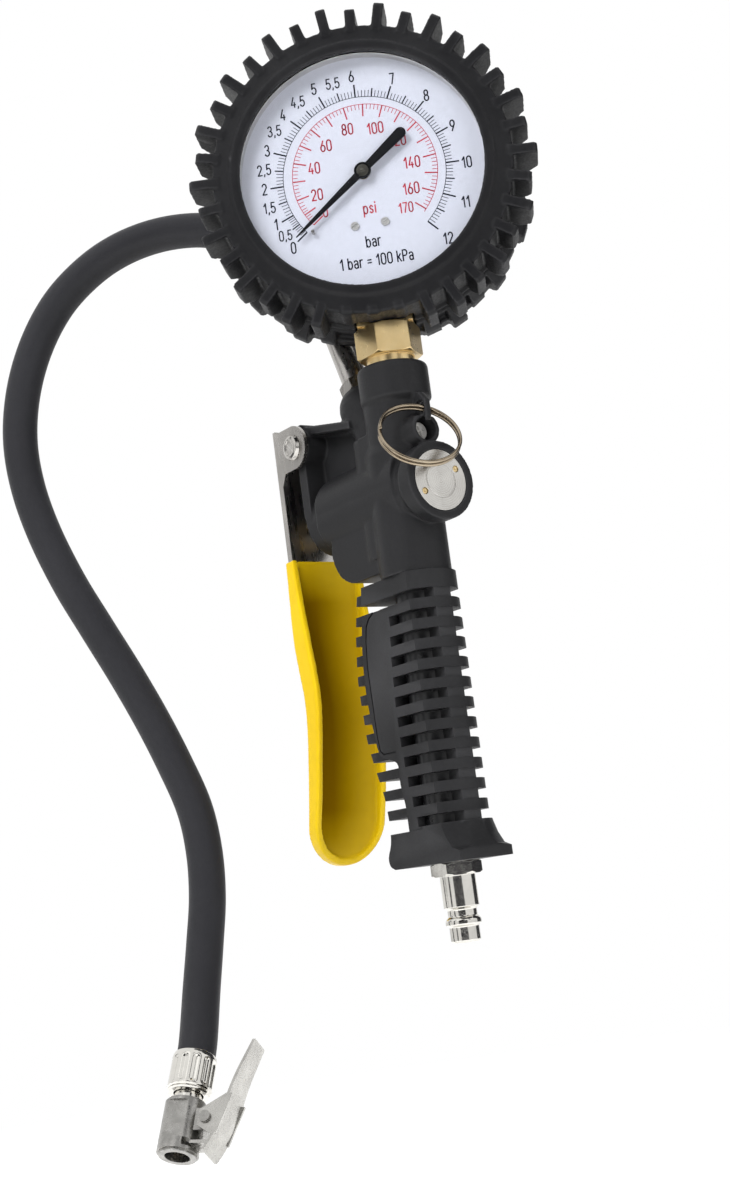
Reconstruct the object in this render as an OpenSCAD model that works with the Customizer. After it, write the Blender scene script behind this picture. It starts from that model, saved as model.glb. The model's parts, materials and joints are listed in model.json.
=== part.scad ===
// Hand-held tyre inflator with a dial gauge, a squeeze trigger, a filling hose and a clip-on chuck.
// The origin is on the axis of the inlet plug, at the plug's shoulder. +Z runs up the grip to the
// gauge, +X points to the palm side and -X to the fingers, where the trigger is.

/* [Inlet plug] */
// Diameter of the plug's shank
plug_shank_d = 12; // [11:0.1:13]
// Length of the shank below the hexagon
plug_shank_l = 10.5; // [8:0.5:14]
// Diameter of the neck that the coupler's balls lock in
plug_neck_d = 9.9; // [9:0.1:10.4]
// Length of the neck
plug_neck_l = 3.6; // [3:0.1:5]
// Diameter of the locking bead
plug_bead_d = 12; // [11.5:0.1:13]
// Length of the locking bead
plug_bead_l = 2.8; // [2:0.1:4]
// Diameter of the plug's tip
plug_tip_d = 10; // [9:0.1:10.8]
// Length of the tip
plug_tip_l = 5.3; // [4:0.1:8]
// Width across the flats of the plug's hexagon
plug_hex_af = 15; // [14:0.5:18]
// Height of the plug's hexagon
plug_hex_h = 4.4; // [3:0.1:8]
// Length of the plug's threaded spigot
plug_spigot_l = 10; // [7:0.5:14]
// Bore of the plug
plug_bore_d = 6.8; // [5:0.1:7.4]

/* [Grip] */
// Height of the grip's top edge
grip_top_z = 102; // [96:1:106]
// Half of the grip's width between its side faces
grip_half_w = 11; // [10:0.5:12]
// Radius of the rounded palm side
grip_palm_r = 13.5; // [12.5:0.5:15]
// Distance between neighbouring fins and slots
grip_pitch = 6.83; // [6.5:0.01:7]
// Height of each side slot
slot_h = 3.3; // [2.5:0.1:4]
// Number of side slots
slot_count = 12; // [8:1:12]
// Height of each finger fin
fin_h = 3.3; // [2.5:0.1:4]
// Height of the foot below the lowest slot
foot_h = 11.5; // [9:0.5:12]
// Outer diameter of the air tube inside the grip
air_tube_d = 16.4; // [15.6:0.1:17]
// Bore of the air tube
air_bore_d = 8; // [6:0.5:9]

/* [Valve body] */
// Height of the valve's axis
valve_z = 130.8; // [128:0.1:134]
// Radius of the valve chamber's outside
chamber_r = 11.5; // [11:0.1:12]
// Distance from the grip's axis to the chamber's rear rim
rim_x = 20.7; // [20:0.1:23]
// Radius of the rear rim
rim_r = 13.7; // [13.2:0.1:14]
// Radius of the valve cap's disc
cap_r = 10.6; // [9.8:0.1:10.8]
// Distance from the grip's axis to the front plate
front_x = 46.5; // [45:0.1:47]
// Thickness of the front plate
front_t = 4.5; // [3.5:0.1:6]
// Outer diameter of the collar under the gauge
collar_d = 24.8; // [24:0.1:28]
// Height of the collar's top face
collar_top_z = 176; // [175:0.1:180]
// Height of the collar
collar_h = 14; // [12:0.1:16]
// Distance of the collar's axis behind the grip's axis
neck_x = 2; // [0:0.5:2.5]
// Diameter of the valve stem
stem_d = 6; // [5:0.1:7]

/* [Trigger] */
// Distance from the grip's axis to the trigger's pivot
pivot_x = 45; // [43:0.5:47]
// Height of the trigger's pivot
pivot_z = 160; // [158:0.5:162]
// Width across the trigger
trigger_w = 28; // [27:0.5:30]
// Thickness of the trigger's steel
trigger_t = 1.5; // [1.2:0.1:1.8]
// Distance from the grip's axis to the trigger's outer face
trigger_x = 57; // [56.5:0.1:58]
// Diameter of the pivot rivet
rivet_d = 6; // [5:0.1:7]
// Height of the sleeve's top edge
sleeve_top_z = 120; // [110:1:121]
// Height of the sleeve's lower tip
sleeve_tip_z = 9; // [5:1:15]
// Wall of the sleeve
sleeve_t = 2.4; // [2.2:0.1:2.8]

/* [Gauge] */
// Height of the gauge's centre
gauge_z = 243; // [240:0.5:250]
// Turn of the dial away from the palm side, in degrees
gauge_turn = 40.5; // [0:0.5:90]
// Outer radius of the gauge's case
case_r = 46; // [44:0.5:48]
// Distance from the gauge's middle plane to the back of the case
case_back = 14; // [13:0.5:14]
// Distance from the middle plane to the case's front edge
case_front = 18; // [17:0.5:20]
// Wall of the case
case_t = 1.2; // [0.8:0.1:1.6]
// Width of the boot's front lip over the case's edge
lip_w = 3.7; // [3:0.1:5]
// Wall of the rubber boot
boot_t = 6; // [4:0.1:7]
// Reach of the boot's tall teeth from the gauge's centre
tooth_tall_r = 60.6; // [58:0.1:63]
// Reach of the boot's short teeth from the gauge's centre
tooth_short_r = 58.6; // [56:0.1:61]
// Thickness of each tooth
tooth_w = 3.6; // [2.5:0.1:5]
// Number of teeth round the boot
tooth_count = 36; // [24:2:40]
// Width across the flats of the brass hexagon under the gauge
neck_hex_af = 20.4; // [17:0.1:21]

/* [Hose and chuck] */
// Outer diameter of the hose
hose_d = 13; // [12:0.1:13.4]
// Outer diameter of the crimped ferrules
ferrule_d = 15; // [14.4:0.1:16]
// Length of the ferrules
ferrule_l = 13.5; // [12:0.5:16]
// Outer diameter of the chuck's body
chuck_d = 14; // [13:0.1:16]
// Length of the chuck's body
chuck_l = 18.5; // [17.5:0.5:22]
// Bore of the chuck's mouth
mouth_d = 8.4; // [8:0.1:9]
// Width across the chuck's clip lever
clip_w = 12; // [11:0.5:13]
// Outer diameter of the split ring
ring_d = 28.8; // [27:0.1:30]
// Thickness of the split ring's wire
ring_wire_d = 1.25; // [1.2:0.05:1.3]

/* [Hidden] */
$fn = 64;
fit = 0.05;           // clearance of a shaft in its hole
gap = 0.3;            // clearance between curved faces of different pieces
flat_gap = 0.1;       // clearance between parallel faces that slide
eps = 0.01;

foot_z = plug_hex_h;                      // underside of the foot
slot_z = foot_z + foot_h + slot_h / 2 + 1.35;  // middle of the lowest slot
tube_z = foot_z + 2;                      // lower end of the air tube
tube_top_z = grip_top_z + 12;             // upper end of the air tube
plug_r = plug_shank_d / 2;
tube_r = air_tube_d / 2;
collar_r = collar_d / 2;
collar_z = collar_top_z - collar_h;
lip_r = case_r - lip_w;                   // radius of the opening in the boot's front lip
front_half_w = trigger_w / 2 - trigger_t - 1;  // half width of what the trigger straddles
port_lean = 20.5;                         // lean of the hose port from vertical
port_base = [-11.5, 0, 155];              // a point on the port's axis
port_l = 19;                              // length of the port's boss from that point
seat_x = 0;                               // face of the valve seat
boss_z = 150;                             // height of the rear screw boss
boss_x = 16.8;                            // rear face of that boss
lug_x = 15.6;                             // split ring's hole in the rib
lug_z = 157.3;
lug_t = 2.4;                              // thickness of that rib

module gauge_frame() { translate([neck_x, 0, gauge_z]) rotate([90, 0, 90 - gauge_turn]) children(); }
module port_frame() { translate(port_base) rotate([0, -port_lean, 0]) children(); }
module valve_frame() { translate([0, 0, valve_z]) rotate([0, 90, 0]) children(); }
module pivot_frame() { translate([-pivot_x, 0, pivot_z]) rotate([90, 0, 0]) children(); }

// A ring or tube about Z from z = a to z = b.
module pipe(ro, ri, a, b) {
    translate([0, 0, a]) difference() {
        cylinder(r = ro, h = b - a);
        translate([0, 0, -1]) cylinder(r = ri, h = b - a + 2);
    }
}
// A solid disc about Z from z = a to z = b.
module disc(r, a, b) { translate([0, 0, a]) cylinder(r = r, h = b - a); }
// A hexagonal bar about Z with its edges bevelled by a cone at both ends.
module hex_bar(af, a, b, bevel = 1) {
    rc = af / 2 / cos(30);
    intersection() {
        translate([0, 0, a]) cylinder(r = rc, h = b - a, $fn = 6);
        rotate_extrude()
            polygon([[0, a], [rc - bevel, a], [rc + eps, a + bevel * 0.6],
                     [rc + eps, b - bevel * 0.6], [rc - bevel, b], [0, b]]);
    }
}

// ---- points along a smooth line through chosen points ----
function cubic(p, q, r, s, t) =
    0.5 * (2 * q + (r - p) * t + (2 * p - 5 * q + 4 * r - s) * t * t
           + (3 * q - p - 3 * r + s) * t * t * t);
function smooth_line(pts, steps) =
    let (n = len(pts), at = function (i) i < 0 ? 2 * pts[0] - pts[1]
                                       : i >= n ? 2 * pts[n - 1] - pts[n - 2] : pts[i])
    concat([for (i = [0 : n - 2]) for (k = [0 : steps - 1])
                cubic(at(i - 1), at(i), at(i + 1), at(i + 2), k / steps)],
           [pts[n - 1]]);
function unit(v) = v / norm(v);
function line_dir(p, i) =
    unit(i == 0 ? p[1] - p[0] : i == len(p) - 1 ? p[i] - p[i - 1] : p[i + 1] - p[i - 1]);
// Each ring's first direction follows the one before, so that the tube doesn't twist.
function frames(p, first, i = 0) =
    i >= len(p) ? []
    : let (d = line_dir(p, i), side = unit(first - d * (first * d)))
      concat([side], frames(p, side, i + 1));
module swept_tube(p, r, sides, first = [0, 1, 0]) {
    side = frames(p, first);
    n = len(p);
    rings = [for (i = [0 : n - 1]) let (d = line_dir(p, i), u = side[i], v = cross(d, u))
                for (k = [0 : sides - 1])
                    p[i] + r * (cos(360 * k / sides) * u + sin(360 * k / sides) * v)];
    walls = [for (i = [0 : n - 2]) for (k = [0 : sides - 1])
                let (a = i * sides + k, b = i * sides + (k + 1) % sides)
                for (face = [[a, a + sides, b], [b, a + sides, b + sides]]) face];
    ends = [for (k = [1 : sides - 2]) for (face = [[0, k, k + 1],
                [(n - 1) * sides, (n - 1) * sides + k + 1, (n - 1) * sides + k]]) face];
    polyhedron(points = rings, faces = concat(walls, ends));
}
// A coil about Z: its wire's middle line climbs from a to b in so many turns.
function coil_line(r, a, b, turns, rings = 8) =
    [for (i = [0 : turns * rings])
        [r * cos(360 * i / rings), r * sin(360 * i / rings), a + (b - a) * i / (turns * rings)]];

// ---- inlet plug, grip and air tube ----
module inlet_plug() {
    z1 = -plug_shank_l;
    z2 = z1 - plug_neck_l;
    z3 = z2 - plug_bead_l;
    z4 = z3 - plug_tip_l;
    color("gainsboro") difference() {
        union() {
            hex_bar(plug_hex_af, 0, plug_hex_h, 0.8);
            disc(plug_r, plug_hex_h - eps, tube_z + plug_spigot_l);
            disc(plug_r, z1, eps);
            rotate_extrude() polygon([
                [0, z1 + eps], [plug_neck_d / 2 + 0.8, z1 + eps], [plug_neck_d / 2, z1 - 0.8],
                [plug_neck_d / 2, z2 + 0.6], [plug_bead_d / 2 - 0.5, z2], [plug_bead_d / 2, z2 - 0.6],
                [plug_bead_d / 2, z3 + 0.7], [plug_tip_d / 2, z3], [plug_tip_d / 2, z4 + 0.6],
                [plug_tip_d / 2 - 0.6, z4], [0, z4]]);
        }
        disc(plug_bore_d / 2, z4 - 1, tube_z + plug_spigot_l + 1);
    }
}
module plug_seal() {
    color("dimgray") pipe(tube_r - 0.4, plug_r + fit, foot_z + 0.8, tube_z);
}
module air_tube() {
    color("darkslategray") difference() {
        disc(tube_r, tube_z, tube_top_z);
        disc(plug_r + fit, tube_z - 1, tube_z + plug_spigot_l + 0.5);
        disc(air_bore_d / 2, tube_z, tube_top_z + 1);
        // groove for the upper seal
        translate([0, 0, tube_top_z - 5]) pipe(tube_r + 1, tube_r - 1.5, 0, 2.2);
    }
}
module tube_seal() {
    color("dimgray") pipe(tube_r, tube_r - 1.4, tube_top_z - 4.9, tube_top_z - 2.9);
}

// Reach of the fins, of the web behind them and of the side slots: [height above foot, reach].
fin_line = [[0, 19.4], [1.4, 21.9], [4.4, 22.4], [8.6, 20.2], [13, 19.5], [18, 19.9], [25, 20.7],
            [32, 22.9], [39, 25], [46, 26.6], [53, 26.9], [66, 27.5], [80, 25.6], [87, 24], [98, 21]];
web_line = [[0, 9], [14, 8.9], [21, 9.1], [28, 10.4], [34.4, 10.3], [36.6, 13], [38.4, 18.6],
            [41, 20.6], [46, 21.6], [60, 23.4], [74, 22.8], [86, 20.6], [98, 18.4]];
slot_line = [[0, 2.4], [14.5, 3.4], [28, 5.8], [42, 7.1], [56, 7.2], [69, 6.3], [83, 4.4], [98, 3.4]];
groove_line = [[-8, 93], [-13.4, 92.4], [-16.4, 90.9], [-18.6, 88.3], [-19.8, 83], [-20.9, 74],
               [-20.8, 62], [-20.4, 50], [-19.7, 45], [-18, 43.4], [-11, 43.2]];
grip_rise = grip_top_z - foot_z;
fin_rise = 3.75;      // height of a fin's middle above the slot that it stands over
rib_half_w = 3.5;     // half width of the spine that joins the ribs behind the air tube
foot_x = 17.6;        // rear face of the foot
foot_edge = 3.2;      // height of the foot's rear edge
flare_h = 16.5;       // height of the flare from the foot to the palm side
module side_outline(line) {
    pts = smooth_line(line, 3);
    polygon(concat([[0, foot_z]], [for (p = pts) [-p[1], foot_z + p[0] * grip_rise / 98]], [[0, grip_top_z]]));
}
module extrude_y(half) { rotate([90, 0, 0]) translate([0, 0, -half]) linear_extrude(2 * half) children(); }

module grip_outside() {
    // web behind the fins
    extrude_y(grip_half_w - 0.2) side_outline(web_line);
    // finger fins
    for (i = [0 : slot_count - 1]) extrude_y(grip_half_w - 0.3) intersection() {
        side_outline(fin_line);
        translate([-40, slot_z + i * grip_pitch + fin_rise - fin_h / 2]) square([40, fin_h]);
    }
    // rounded palm side
    intersection() {
        disc(grip_palm_r, foot_z, grip_top_z);
        translate([-8, -grip_half_w + 0.2, foot_z]) cube([40, 2 * grip_half_w - 0.4, grip_rise]);
    }
    // foot, and the flare that joins its square rear to the round palm side
    extrude_y(grip_half_w) intersection() {
        side_outline(fin_line);
        translate([-40, foot_z]) square([40, foot_h + 0.4]);
    }
    intersection() {
        extrude_y(grip_half_w) polygon([[-1, foot_z], [foot_x, foot_z], [foot_x, foot_z + foot_edge],
            [foot_x - 1, foot_z + 5], [foot_x - 2.6, foot_z + 9], [grip_palm_r, foot_z + flare_h], [-1, foot_z + flare_h]]);
        rotate_extrude() polygon([[0, foot_z], [foot_x + 2.8, foot_z], [foot_x + 2.8, foot_z + foot_edge],
            [foot_x, foot_z + 4.4], [foot_x - 2, foot_z + 8], [foot_x - 3.2, foot_z + 12],
            [grip_palm_r, foot_z + flare_h], [0, foot_z + flare_h]]);
    }
}
module grip() {
    color([0.13, 0.13, 0.14]) difference() {
        union() {
            difference() {
                grip_outside();
                // side slots, right round the palm side; the top one is open to the fingers too
                for (i = [0 : slot_count - 1]) let (z = slot_z + i * grip_pitch,
                        reach = i == slot_count - 1 ? 40 : lookup(z - foot_z, slot_line))
                    translate([-reach, -20, z - slot_h / 2]) cube([reach + 30, 40, slot_h]);
            }
            translate([tube_r - 1, -rib_half_w, foot_z + foot_h])
                cube([grip_palm_r - tube_r + 0.4, 2 * rib_half_w, grip_rise - foot_h]);
        }
        disc(tube_r + flat_gap, foot_z + 0.8, grip_top_z + 1);
        disc(plug_r + gap, foot_z - 1, foot_z + 2);
        // fine groove round the panel on both sides
        for (s = [-1, 1]) translate([0, s * (grip_half_w + 0.1), 0]) extrude_y(0.8)
            polygon(concat(groove_line,
                [for (i = [len(groove_line) - 1 : -1 : 0]) groove_line[i] + [0.5, i < 4 ? -0.5 : i > 8 ? 0.5 : 0]]));
    }
}

// ---- valve body and what it holds ----
trunk_r = 12.3;       // radius of the trunk round the air way
lobe = [-22, 118];    // middle of the lobe that guards the fingers over the grip
lobe_r = 13.2;
way_r = 2.2;          // radius of the air ways
chamber_rise = 3.6;   // extra height of the chamber's moulding above its bore
module valve_body_outside() {
    // trunk, slimmer above the chamber, with the collar for the gauge
    disc(trunk_r, grip_top_z, valve_z + 14);
    translate([0, 0, valve_z + 14 - eps]) cylinder(r1 = trunk_r, r2 = trunk_r - 1, h = 3);
    translate([neck_x / 2, 0, 0]) disc(trunk_r - 1, valve_z + 16, collar_z + 2);
    translate([neck_x, 0, 0]) rotate_extrude() polygon([[0, collar_z], [collar_r - 1.6, collar_z],
        [collar_r, collar_z + 1.6], [collar_r, collar_top_z - 1.4], [collar_r - 0.4, collar_top_z - 0.5],
        [collar_r - 1.4, collar_top_z], [0, collar_top_z]]);
    // column under the hose port, and the port
    translate([-9, 0, 0]) disc(10.5, grip_top_z + 8, port_base[2] - 2);
    translate([-9, -10.5, grip_top_z + 8]) cube([9, 21, port_base[2] - grip_top_z - 10]);
    port_frame() rotate_extrude() polygon([[0, -8], [7.7, -8], [7.7, 4], [9.2, 8], [9.7, 11], [9.6, 13.5],
        [8.9, 16], [7.6, port_l - 1], [6.4, port_l], [0, port_l]]);
    // valve chamber, rear rim and front plate
    valve_frame() disc(chamber_r, -front_x + 1, rim_x - 5);
    for (up = [0, chamber_rise]) translate([0, 0, up])
        valve_frame() disc(chamber_r + 0.9, -front_x + 8, rim_x - 12);
    translate([-front_x + 8, -chamber_r - 0.6, valve_z])
        cube([front_x + rim_x - 20, 2 * chamber_r + 1.2, chamber_rise]);
    valve_frame() translate([0, 0, rim_x - 9]) cylinder(r1 = chamber_r, r2 = rim_r, h = 3);
    valve_frame() disc(rim_r, rim_x - 6, rim_x);
    translate([-front_x, 0, 0]) rotate([90, 0, 90]) linear_extrude(front_t) union() {
        translate([-front_half_w, valve_z + 3]) square([2 * front_half_w, pivot_z + 8 - valve_z - 3]);
        translate([0, valve_z + 3]) circle(r = front_half_w);
    }
    // web, top plate and pivot boss of the bracket
    translate([-front_x + 1, -3, valve_z]) cube([front_x - 10, 6, pivot_z + 5 - valve_z]);
    extrude_y(front_half_w - 1.2)
        polygon([[-front_x + 1, pivot_z + 8], [-14, pivot_z + 1.2], [-14, pivot_z - 1.6], [-front_x + 1, pivot_z + 4.6]]);
    pivot_frame() disc(6.5, -front_half_w, front_half_w);
    // lobe
    translate([lobe[0], 0, lobe[1]]) rotate([90, 0, 0]) disc(lobe_r, -9.5, 9.5);
    translate([lobe[0], -9.5, lobe[1] - lobe_r]) cube([14, 19, lobe_r]);
    // rear screw boss, with its rib up to the collar
    translate([6, 0, boss_z]) rotate([0, 90, 0]) cylinder(r1 = 7.4, r2 = 5.5, h = boss_x - 6);
    extrude_y(lug_t / 2) polygon([[4, boss_z], [boss_x, boss_z], [lug_x + 3.5, boss_z + 4],
        [lug_x + 3.5, lug_z + 2.4], [lug_x + 0.6, collar_z + 1], [4, collar_z + 1]]);
}
module valve_body() {
    color([0.15, 0.15, 0.16]) difference() {
        valve_body_outside();
        // socket for the air tube and the way up into the chamber
        disc(tube_r + fit, grip_top_z - 1, tube_top_z + 0.5);
        translate([4, 0, 0]) disc(3, tube_top_z, valve_z);
        // stepped bore of the chamber: cap and spring room, seat, front room, guide
        valve_frame() disc(8, seat_x - 4, rim_x);
        valve_frame() disc(cap_r + 0.15, rim_x - 3.6, rim_x + 1);
        valve_frame() disc(5, -14, seat_x - 3);
        valve_frame() disc(5, -front_x - 1, -front_x + 10);
        valve_frame() disc(stem_d / 2 + fit, -front_x - 1, seat_x);
        // way up to the gauge and to the hose
        translate([-7.5, 0, 0]) disc(way_r, valve_z, 162);
        translate([-7.5, 0, 160]) rotate([0, 35, 0]) disc(way_r, 0, 8);
        translate([neck_x, 0, 0]) disc(6.6 + fit, collar_top_z - 11, collar_top_z + 1);
        port_frame() disc(way_r, -16, port_l);
        port_frame() disc(5 + fit, port_l - 9, port_l + 1);
        // pivot, rear boss and split ring hole
        pivot_frame() disc(rivet_d / 2 + fit, -20, 20);
        translate([0, 0, boss_z]) rotate([0, 90, 0]) disc(4.1, boss_x - 6, boss_x + 1);
        translate([0, 0, boss_z]) rotate([0, 90, 0]) disc(1.5 + fit, boss_x - 12, boss_x);
        translate([lug_x, 0, lug_z]) rotate([90, 0, 0]) disc(2.5, -6, 6);
        // room for the ring beside the rib
        for (s = [0, 1]) mirror([0, s, 0]) translate([lug_x, lug_t / 2, lug_z]) rotate([-90, 0, 0]) disc(3, 0, 8);
    }
}
module valve_seat() {
    color("goldenrod") valve_frame() difference() {
        disc(8 - fit, seat_x - 4, seat_x);
        disc(4, seat_x - 5, seat_x + 1);
    }
}
module stem_guide() {
    color("goldenrod") valve_frame() difference() {
        union() {
            disc(5 - fit, -front_x + 5, -front_x + 10);
            disc(5 - fit, -front_x - 1.2, -front_x + 2.5);
            disc(3.9, -front_x + 2, -front_x + 6);
        }
        disc(stem_d / 2 + fit, -front_x - 3, -front_x + 11);
    }
}
module stem_seal() {
    color("dimgray") valve_frame() pipe(5 - fit, 4, -front_x + 2.6, -front_x + 4.9);
}
stem_tip_x = trigger_x - trigger_t - gap;
module valve_stem() {
    color("gainsboro") valve_frame() union() {
        disc(stem_d / 2, -stem_tip_x + 1.2, -10);
        intersection() {
            disc(stem_d / 2, -stem_tip_x, -stem_tip_x + 2);
            translate([0, 0, -stem_tip_x + 4]) sphere(r = 4);
        }
        disc(1.6, -10 - eps, seat_x + 6);
    }
}
module poppet() {
    color("dimgray") valve_frame() pipe(5.6, 1.6, seat_x + 0.1, seat_x + 2.6);
}
module poppet_washer() {
    color("gainsboro") valve_frame() pipe(5.2, 1.6, seat_x + 2.6, seat_x + 3.6);
}
module valve_spring() {
    color("silver") valve_frame()
        swept_tube(coil_line(4.1, seat_x + 4.2, seat_x + 9.7, 3), 0.5, 6, [1, 0, 0]);
}
module valve_cap() {
    color("lightgray") valve_frame() difference() {
        union() {
            disc(cap_r, rim_x - 3.5, rim_x - 0.3);
            disc(8 - fit, rim_x - 8.5, rim_x - 3.4);
        }
        disc(5.2, rim_x - 9, rim_x - 5.2);
        for (a = [119.4, -60.6]) rotate(a) translate([8.1, 0, 0]) disc(1.2, rim_x - 2.4, rim_x);
        pipe(6.2, 5.8, rim_x - 0.5, rim_x);
    }
}
module boss_screw() {
    color("silver") translate([0, 0, boss_z]) rotate([0, 90, 0]) difference() {
        union() {
            disc(3.2, boss_x - 6, boss_x - 4.4);
            disc(1.5, boss_x - 11, boss_x - 5);
        }
        for (a = [0, 90]) rotate(a + 20) translate([-2, -0.4, boss_x - 5.3]) cube([4, 0.8, 2]);
    }
}

// ---- trigger ----
// Outer face of the sleeve and the depth of its sides, below the top edge: [drop, distance].
sleeve_back = [[0, 0], [14, 0.7], [28, 1.3], [40, 0.2], [51, -1.2], [62, -0.5], [73, 1.4], [86, 4], [100, 7.2], [111, 10]];
sleeve_edge = [[0, 7.2], [28, 7.8], [40, 7.6], [51, 7.2], [62, 6.8], [73, 6.6], [86, 6.6], [100, 5.8], [111, 4.4]];
sleeve_drop = (sleeve_top_z - sleeve_tip_z) / 111;
back_pts = [for (p = smooth_line(sleeve_back, 4)) [-trigger_x - 0.6 - p[1], sleeve_top_z - p[0] * sleeve_drop]];
tongue_l = 10;        // length of the steel tongue inside the sleeve
flange_d = 2.8;       // depth of the steel's side flanges
sleeve_over = 1.1;    // thickness of the sleeve outside the steel's sides
module sleeve_side(inset, depth_add) {
    polygon(concat([for (p = back_pts) [p[0] + inset, p[1]]],
        [for (i = [len(back_pts) - 1 : -1 : 0]) let (p = back_pts[i],
            depth = lookup((sleeve_top_z - p[1]) / sleeve_drop, sleeve_edge) + depth_add)
                [p[0] + max(inset + 0.2, depth), p[1]]]));
}
module sleeve_face(w, tip) {
    translate([-w, tip + w]) square([2 * w, sleeve_top_z]);
    translate([0, tip + w]) circle(r = w);
}
module sleeve_block(inset, back_inset, depth_add) {
    w = trigger_w / 2 + sleeve_over - inset;
    intersection() {
        extrude_y(w) sleeve_side(back_inset, depth_add);
        translate([-100, 0, 0]) rotate([90, 0, 90]) linear_extrude(100) sleeve_face(w, sleeve_tip_z + inset);
    }
}
pocket_in = 0.7;      // how far the flanges' pockets open into the channel
module trigger_sleeve() {
    color("gold") difference() {
        sleeve_block(0, 0, 0);
        sleeve_block(sleeve_t, sleeve_t + 1, 20);
        // pockets that take the steel's tongue and flanges
        translate([-trigger_x - flat_gap, -9 - flat_gap, sleeve_top_z - tongue_l - flat_gap])
            cube([trigger_t + 2 * flat_gap, 18 + 2 * flat_gap, tongue_l + 2]);
        translate([-trigger_x - flat_gap, -trigger_w / 2 - flat_gap, sleeve_top_z - 8 - flat_gap])
            cube([trigger_t + 2 * flat_gap, trigger_w + 2 * flat_gap, 10]);
        for (s = [0, 1]) mirror([0, s, 0])
            translate([-trigger_x - flat_gap, trigger_w / 2 - trigger_t - pocket_in, sleeve_top_z - 8 - flat_gap])
                cube([flange_d + 2 * flat_gap, trigger_t + pocket_in + flat_gap, 10]);
    }
}
module trigger_frame() {
    ear_r = 8;
    low_z = sleeve_top_z - 8;
    color("silver") difference() {
        union() {
            // back of the channel and its tongue in the sleeve
            translate([-trigger_x, -trigger_w / 2, low_z]) cube([trigger_t, trigger_w, pivot_z + ear_r + 1 - low_z]);
            translate([-trigger_x, -9, sleeve_top_z - tongue_l]) cube([trigger_t, 18, tongue_l]);
            // side flanges, which widen into the ears
            for (y = [-trigger_w / 2, trigger_w / 2 - trigger_t]) translate([0, y + trigger_t, 0]) rotate([90, 0, 0])
                linear_extrude(trigger_t) union() {
                    translate([-trigger_x, low_z]) square([flange_d, pivot_z - low_z]);
                    polygon([[-trigger_x, pivot_z + ear_r], [-trigger_x, pivot_z - ear_r - 4],
                        [-trigger_x + flange_d, pivot_z - ear_r - 4], [-trigger_x + flange_d + 2.4, pivot_z - ear_r],
                        [-pivot_x, pivot_z - ear_r], [-pivot_x, pivot_z + ear_r]]);
                    translate([-pivot_x, pivot_z]) circle(r = ear_r);
                }
        }
        pivot_frame() disc(rivet_d / 2 + fit, -20, 20);
    }
}
module pivot_rivet() {
    color("lightgray") pivot_frame() union() {
        disc(rivet_d / 2, -trigger_w / 2 - flat_gap, trigger_w / 2 + flat_gap);
        for (s = [0, 1]) mirror([0, 0, s]) translate([0, 0, trigger_w / 2 + flat_gap - eps])
            cylinder(r1 = 4.8, r2 = 4.4, h = 1.3);
    }
}

// ---- split ring: two turns of wire, seen along its axis a plain circle ----
ring_c = [20.7, -6.4, 146.1];              // middle of the ring
ring_n = unit([0.81, -0.25, 0.531]);      // its axis
ring_r = (ring_d - ring_wire_d) / 2;
ring_pitch = 1.55;                        // distance between its two turns
ring_u = unit([lug_x, 0, lug_z] - ring_c - ring_n * (ring_n * ([lug_x, 0, lug_z] - ring_c)));
ring_v = cross(ring_n, ring_u);
module split_ring() {
    rings = 24;
    pts = [for (i = [0 : 2 * rings]) let (a = 360 * i / rings + 100, h = (i / rings - 1) * ring_pitch)
              ring_c + ring_r * (cos(a) * ring_u + sin(a) * ring_v) + h * ring_n];
    echo(split_ring_gap = min([for (i = [0 : 2 * rings], j = [i + rings / 2 : 1 : 2 * rings]) norm(pts[i] - pts[j])])
         - ring_wire_d);
    color("khaki") swept_tube(pts, ring_wire_d / 2, 6, ring_n);
}

// ---- neck and gauge ----
neck_z = collar_top_z + 3.2;              // underside of the brass hexagon
hex_top_z = neck_z + 11;
hex_turn = 2.6;                           // turn of the hexagon's first corner
stem_r = 4.9;                             // radius of the gauge's threaded stem
module neck_adapter() {
    color("peru") translate([neck_x, 0, 0]) difference() {
        union() {
            rotate(hex_turn) hex_bar(neck_hex_af, neck_z, hex_top_z, 1.2);
            disc(8.5, collar_top_z, neck_z + eps);
            disc(6.6, collar_top_z - 10.5, collar_top_z + eps);
        }
        disc(stem_r + fit, hex_top_z - 10, hex_top_z + 1);
        disc(2.5, collar_top_z - 12, hex_top_z);
    }
}
module neck_seal() {
    color("dimgray") translate([neck_x, 0, 0]) pipe(6.5, 2.6, collar_top_z - 10.98, collar_top_z - 10.5);
}

socket_w = 16;        // width of the gauge's brass block inside the case
flange_w = 19.6;      // width of its flange below the case
flange_h = 14;        // depth of that flange
socket_top = -24;     // top of that block, from the gauge's centre
dial_z = case_front - 5.1;                // front face of the dial
glass_z = case_front - 1.5;               // rear face of the glass
module gauge_socket() {
    low = hex_top_z + flat_gap - gauge_z;
    color("peru") union() {
        translate([neck_x, 0, 0]) disc(stem_r, hex_top_z - 9.5, hex_top_z + 1);
        gauge_frame() translate([-flange_w / 2, low, -flange_h / 2]) cube([flange_w, -case_r - gap - low, flange_h]);
        gauge_frame() translate([-socket_w / 2, -case_r + 1.8, -8]) cube([socket_w, case_r - 1.8 + socket_top, 11]);
        // narrower root of the block, through the case's wall
        gauge_frame() translate([0.4 - socket_w / 2, -case_r - gap - 1, -6.6]) cube([socket_w - 0.8, 4, 9.2]);
        // lug that holds the fixed end of the pressure tube
        gauge_frame() rotate(tube_a + tube_sweep) translate([tube_bend_r - 3.6, 0, -7.6]) cube([7.2, 6, 10.2]);
    }
}
tube_bend_r = 33.5;   // radius of the pressure tube's bend
tube_a = -12;         // direction of its free end
tube_sweep = 264;     // angle from there to its fixed end
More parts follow.
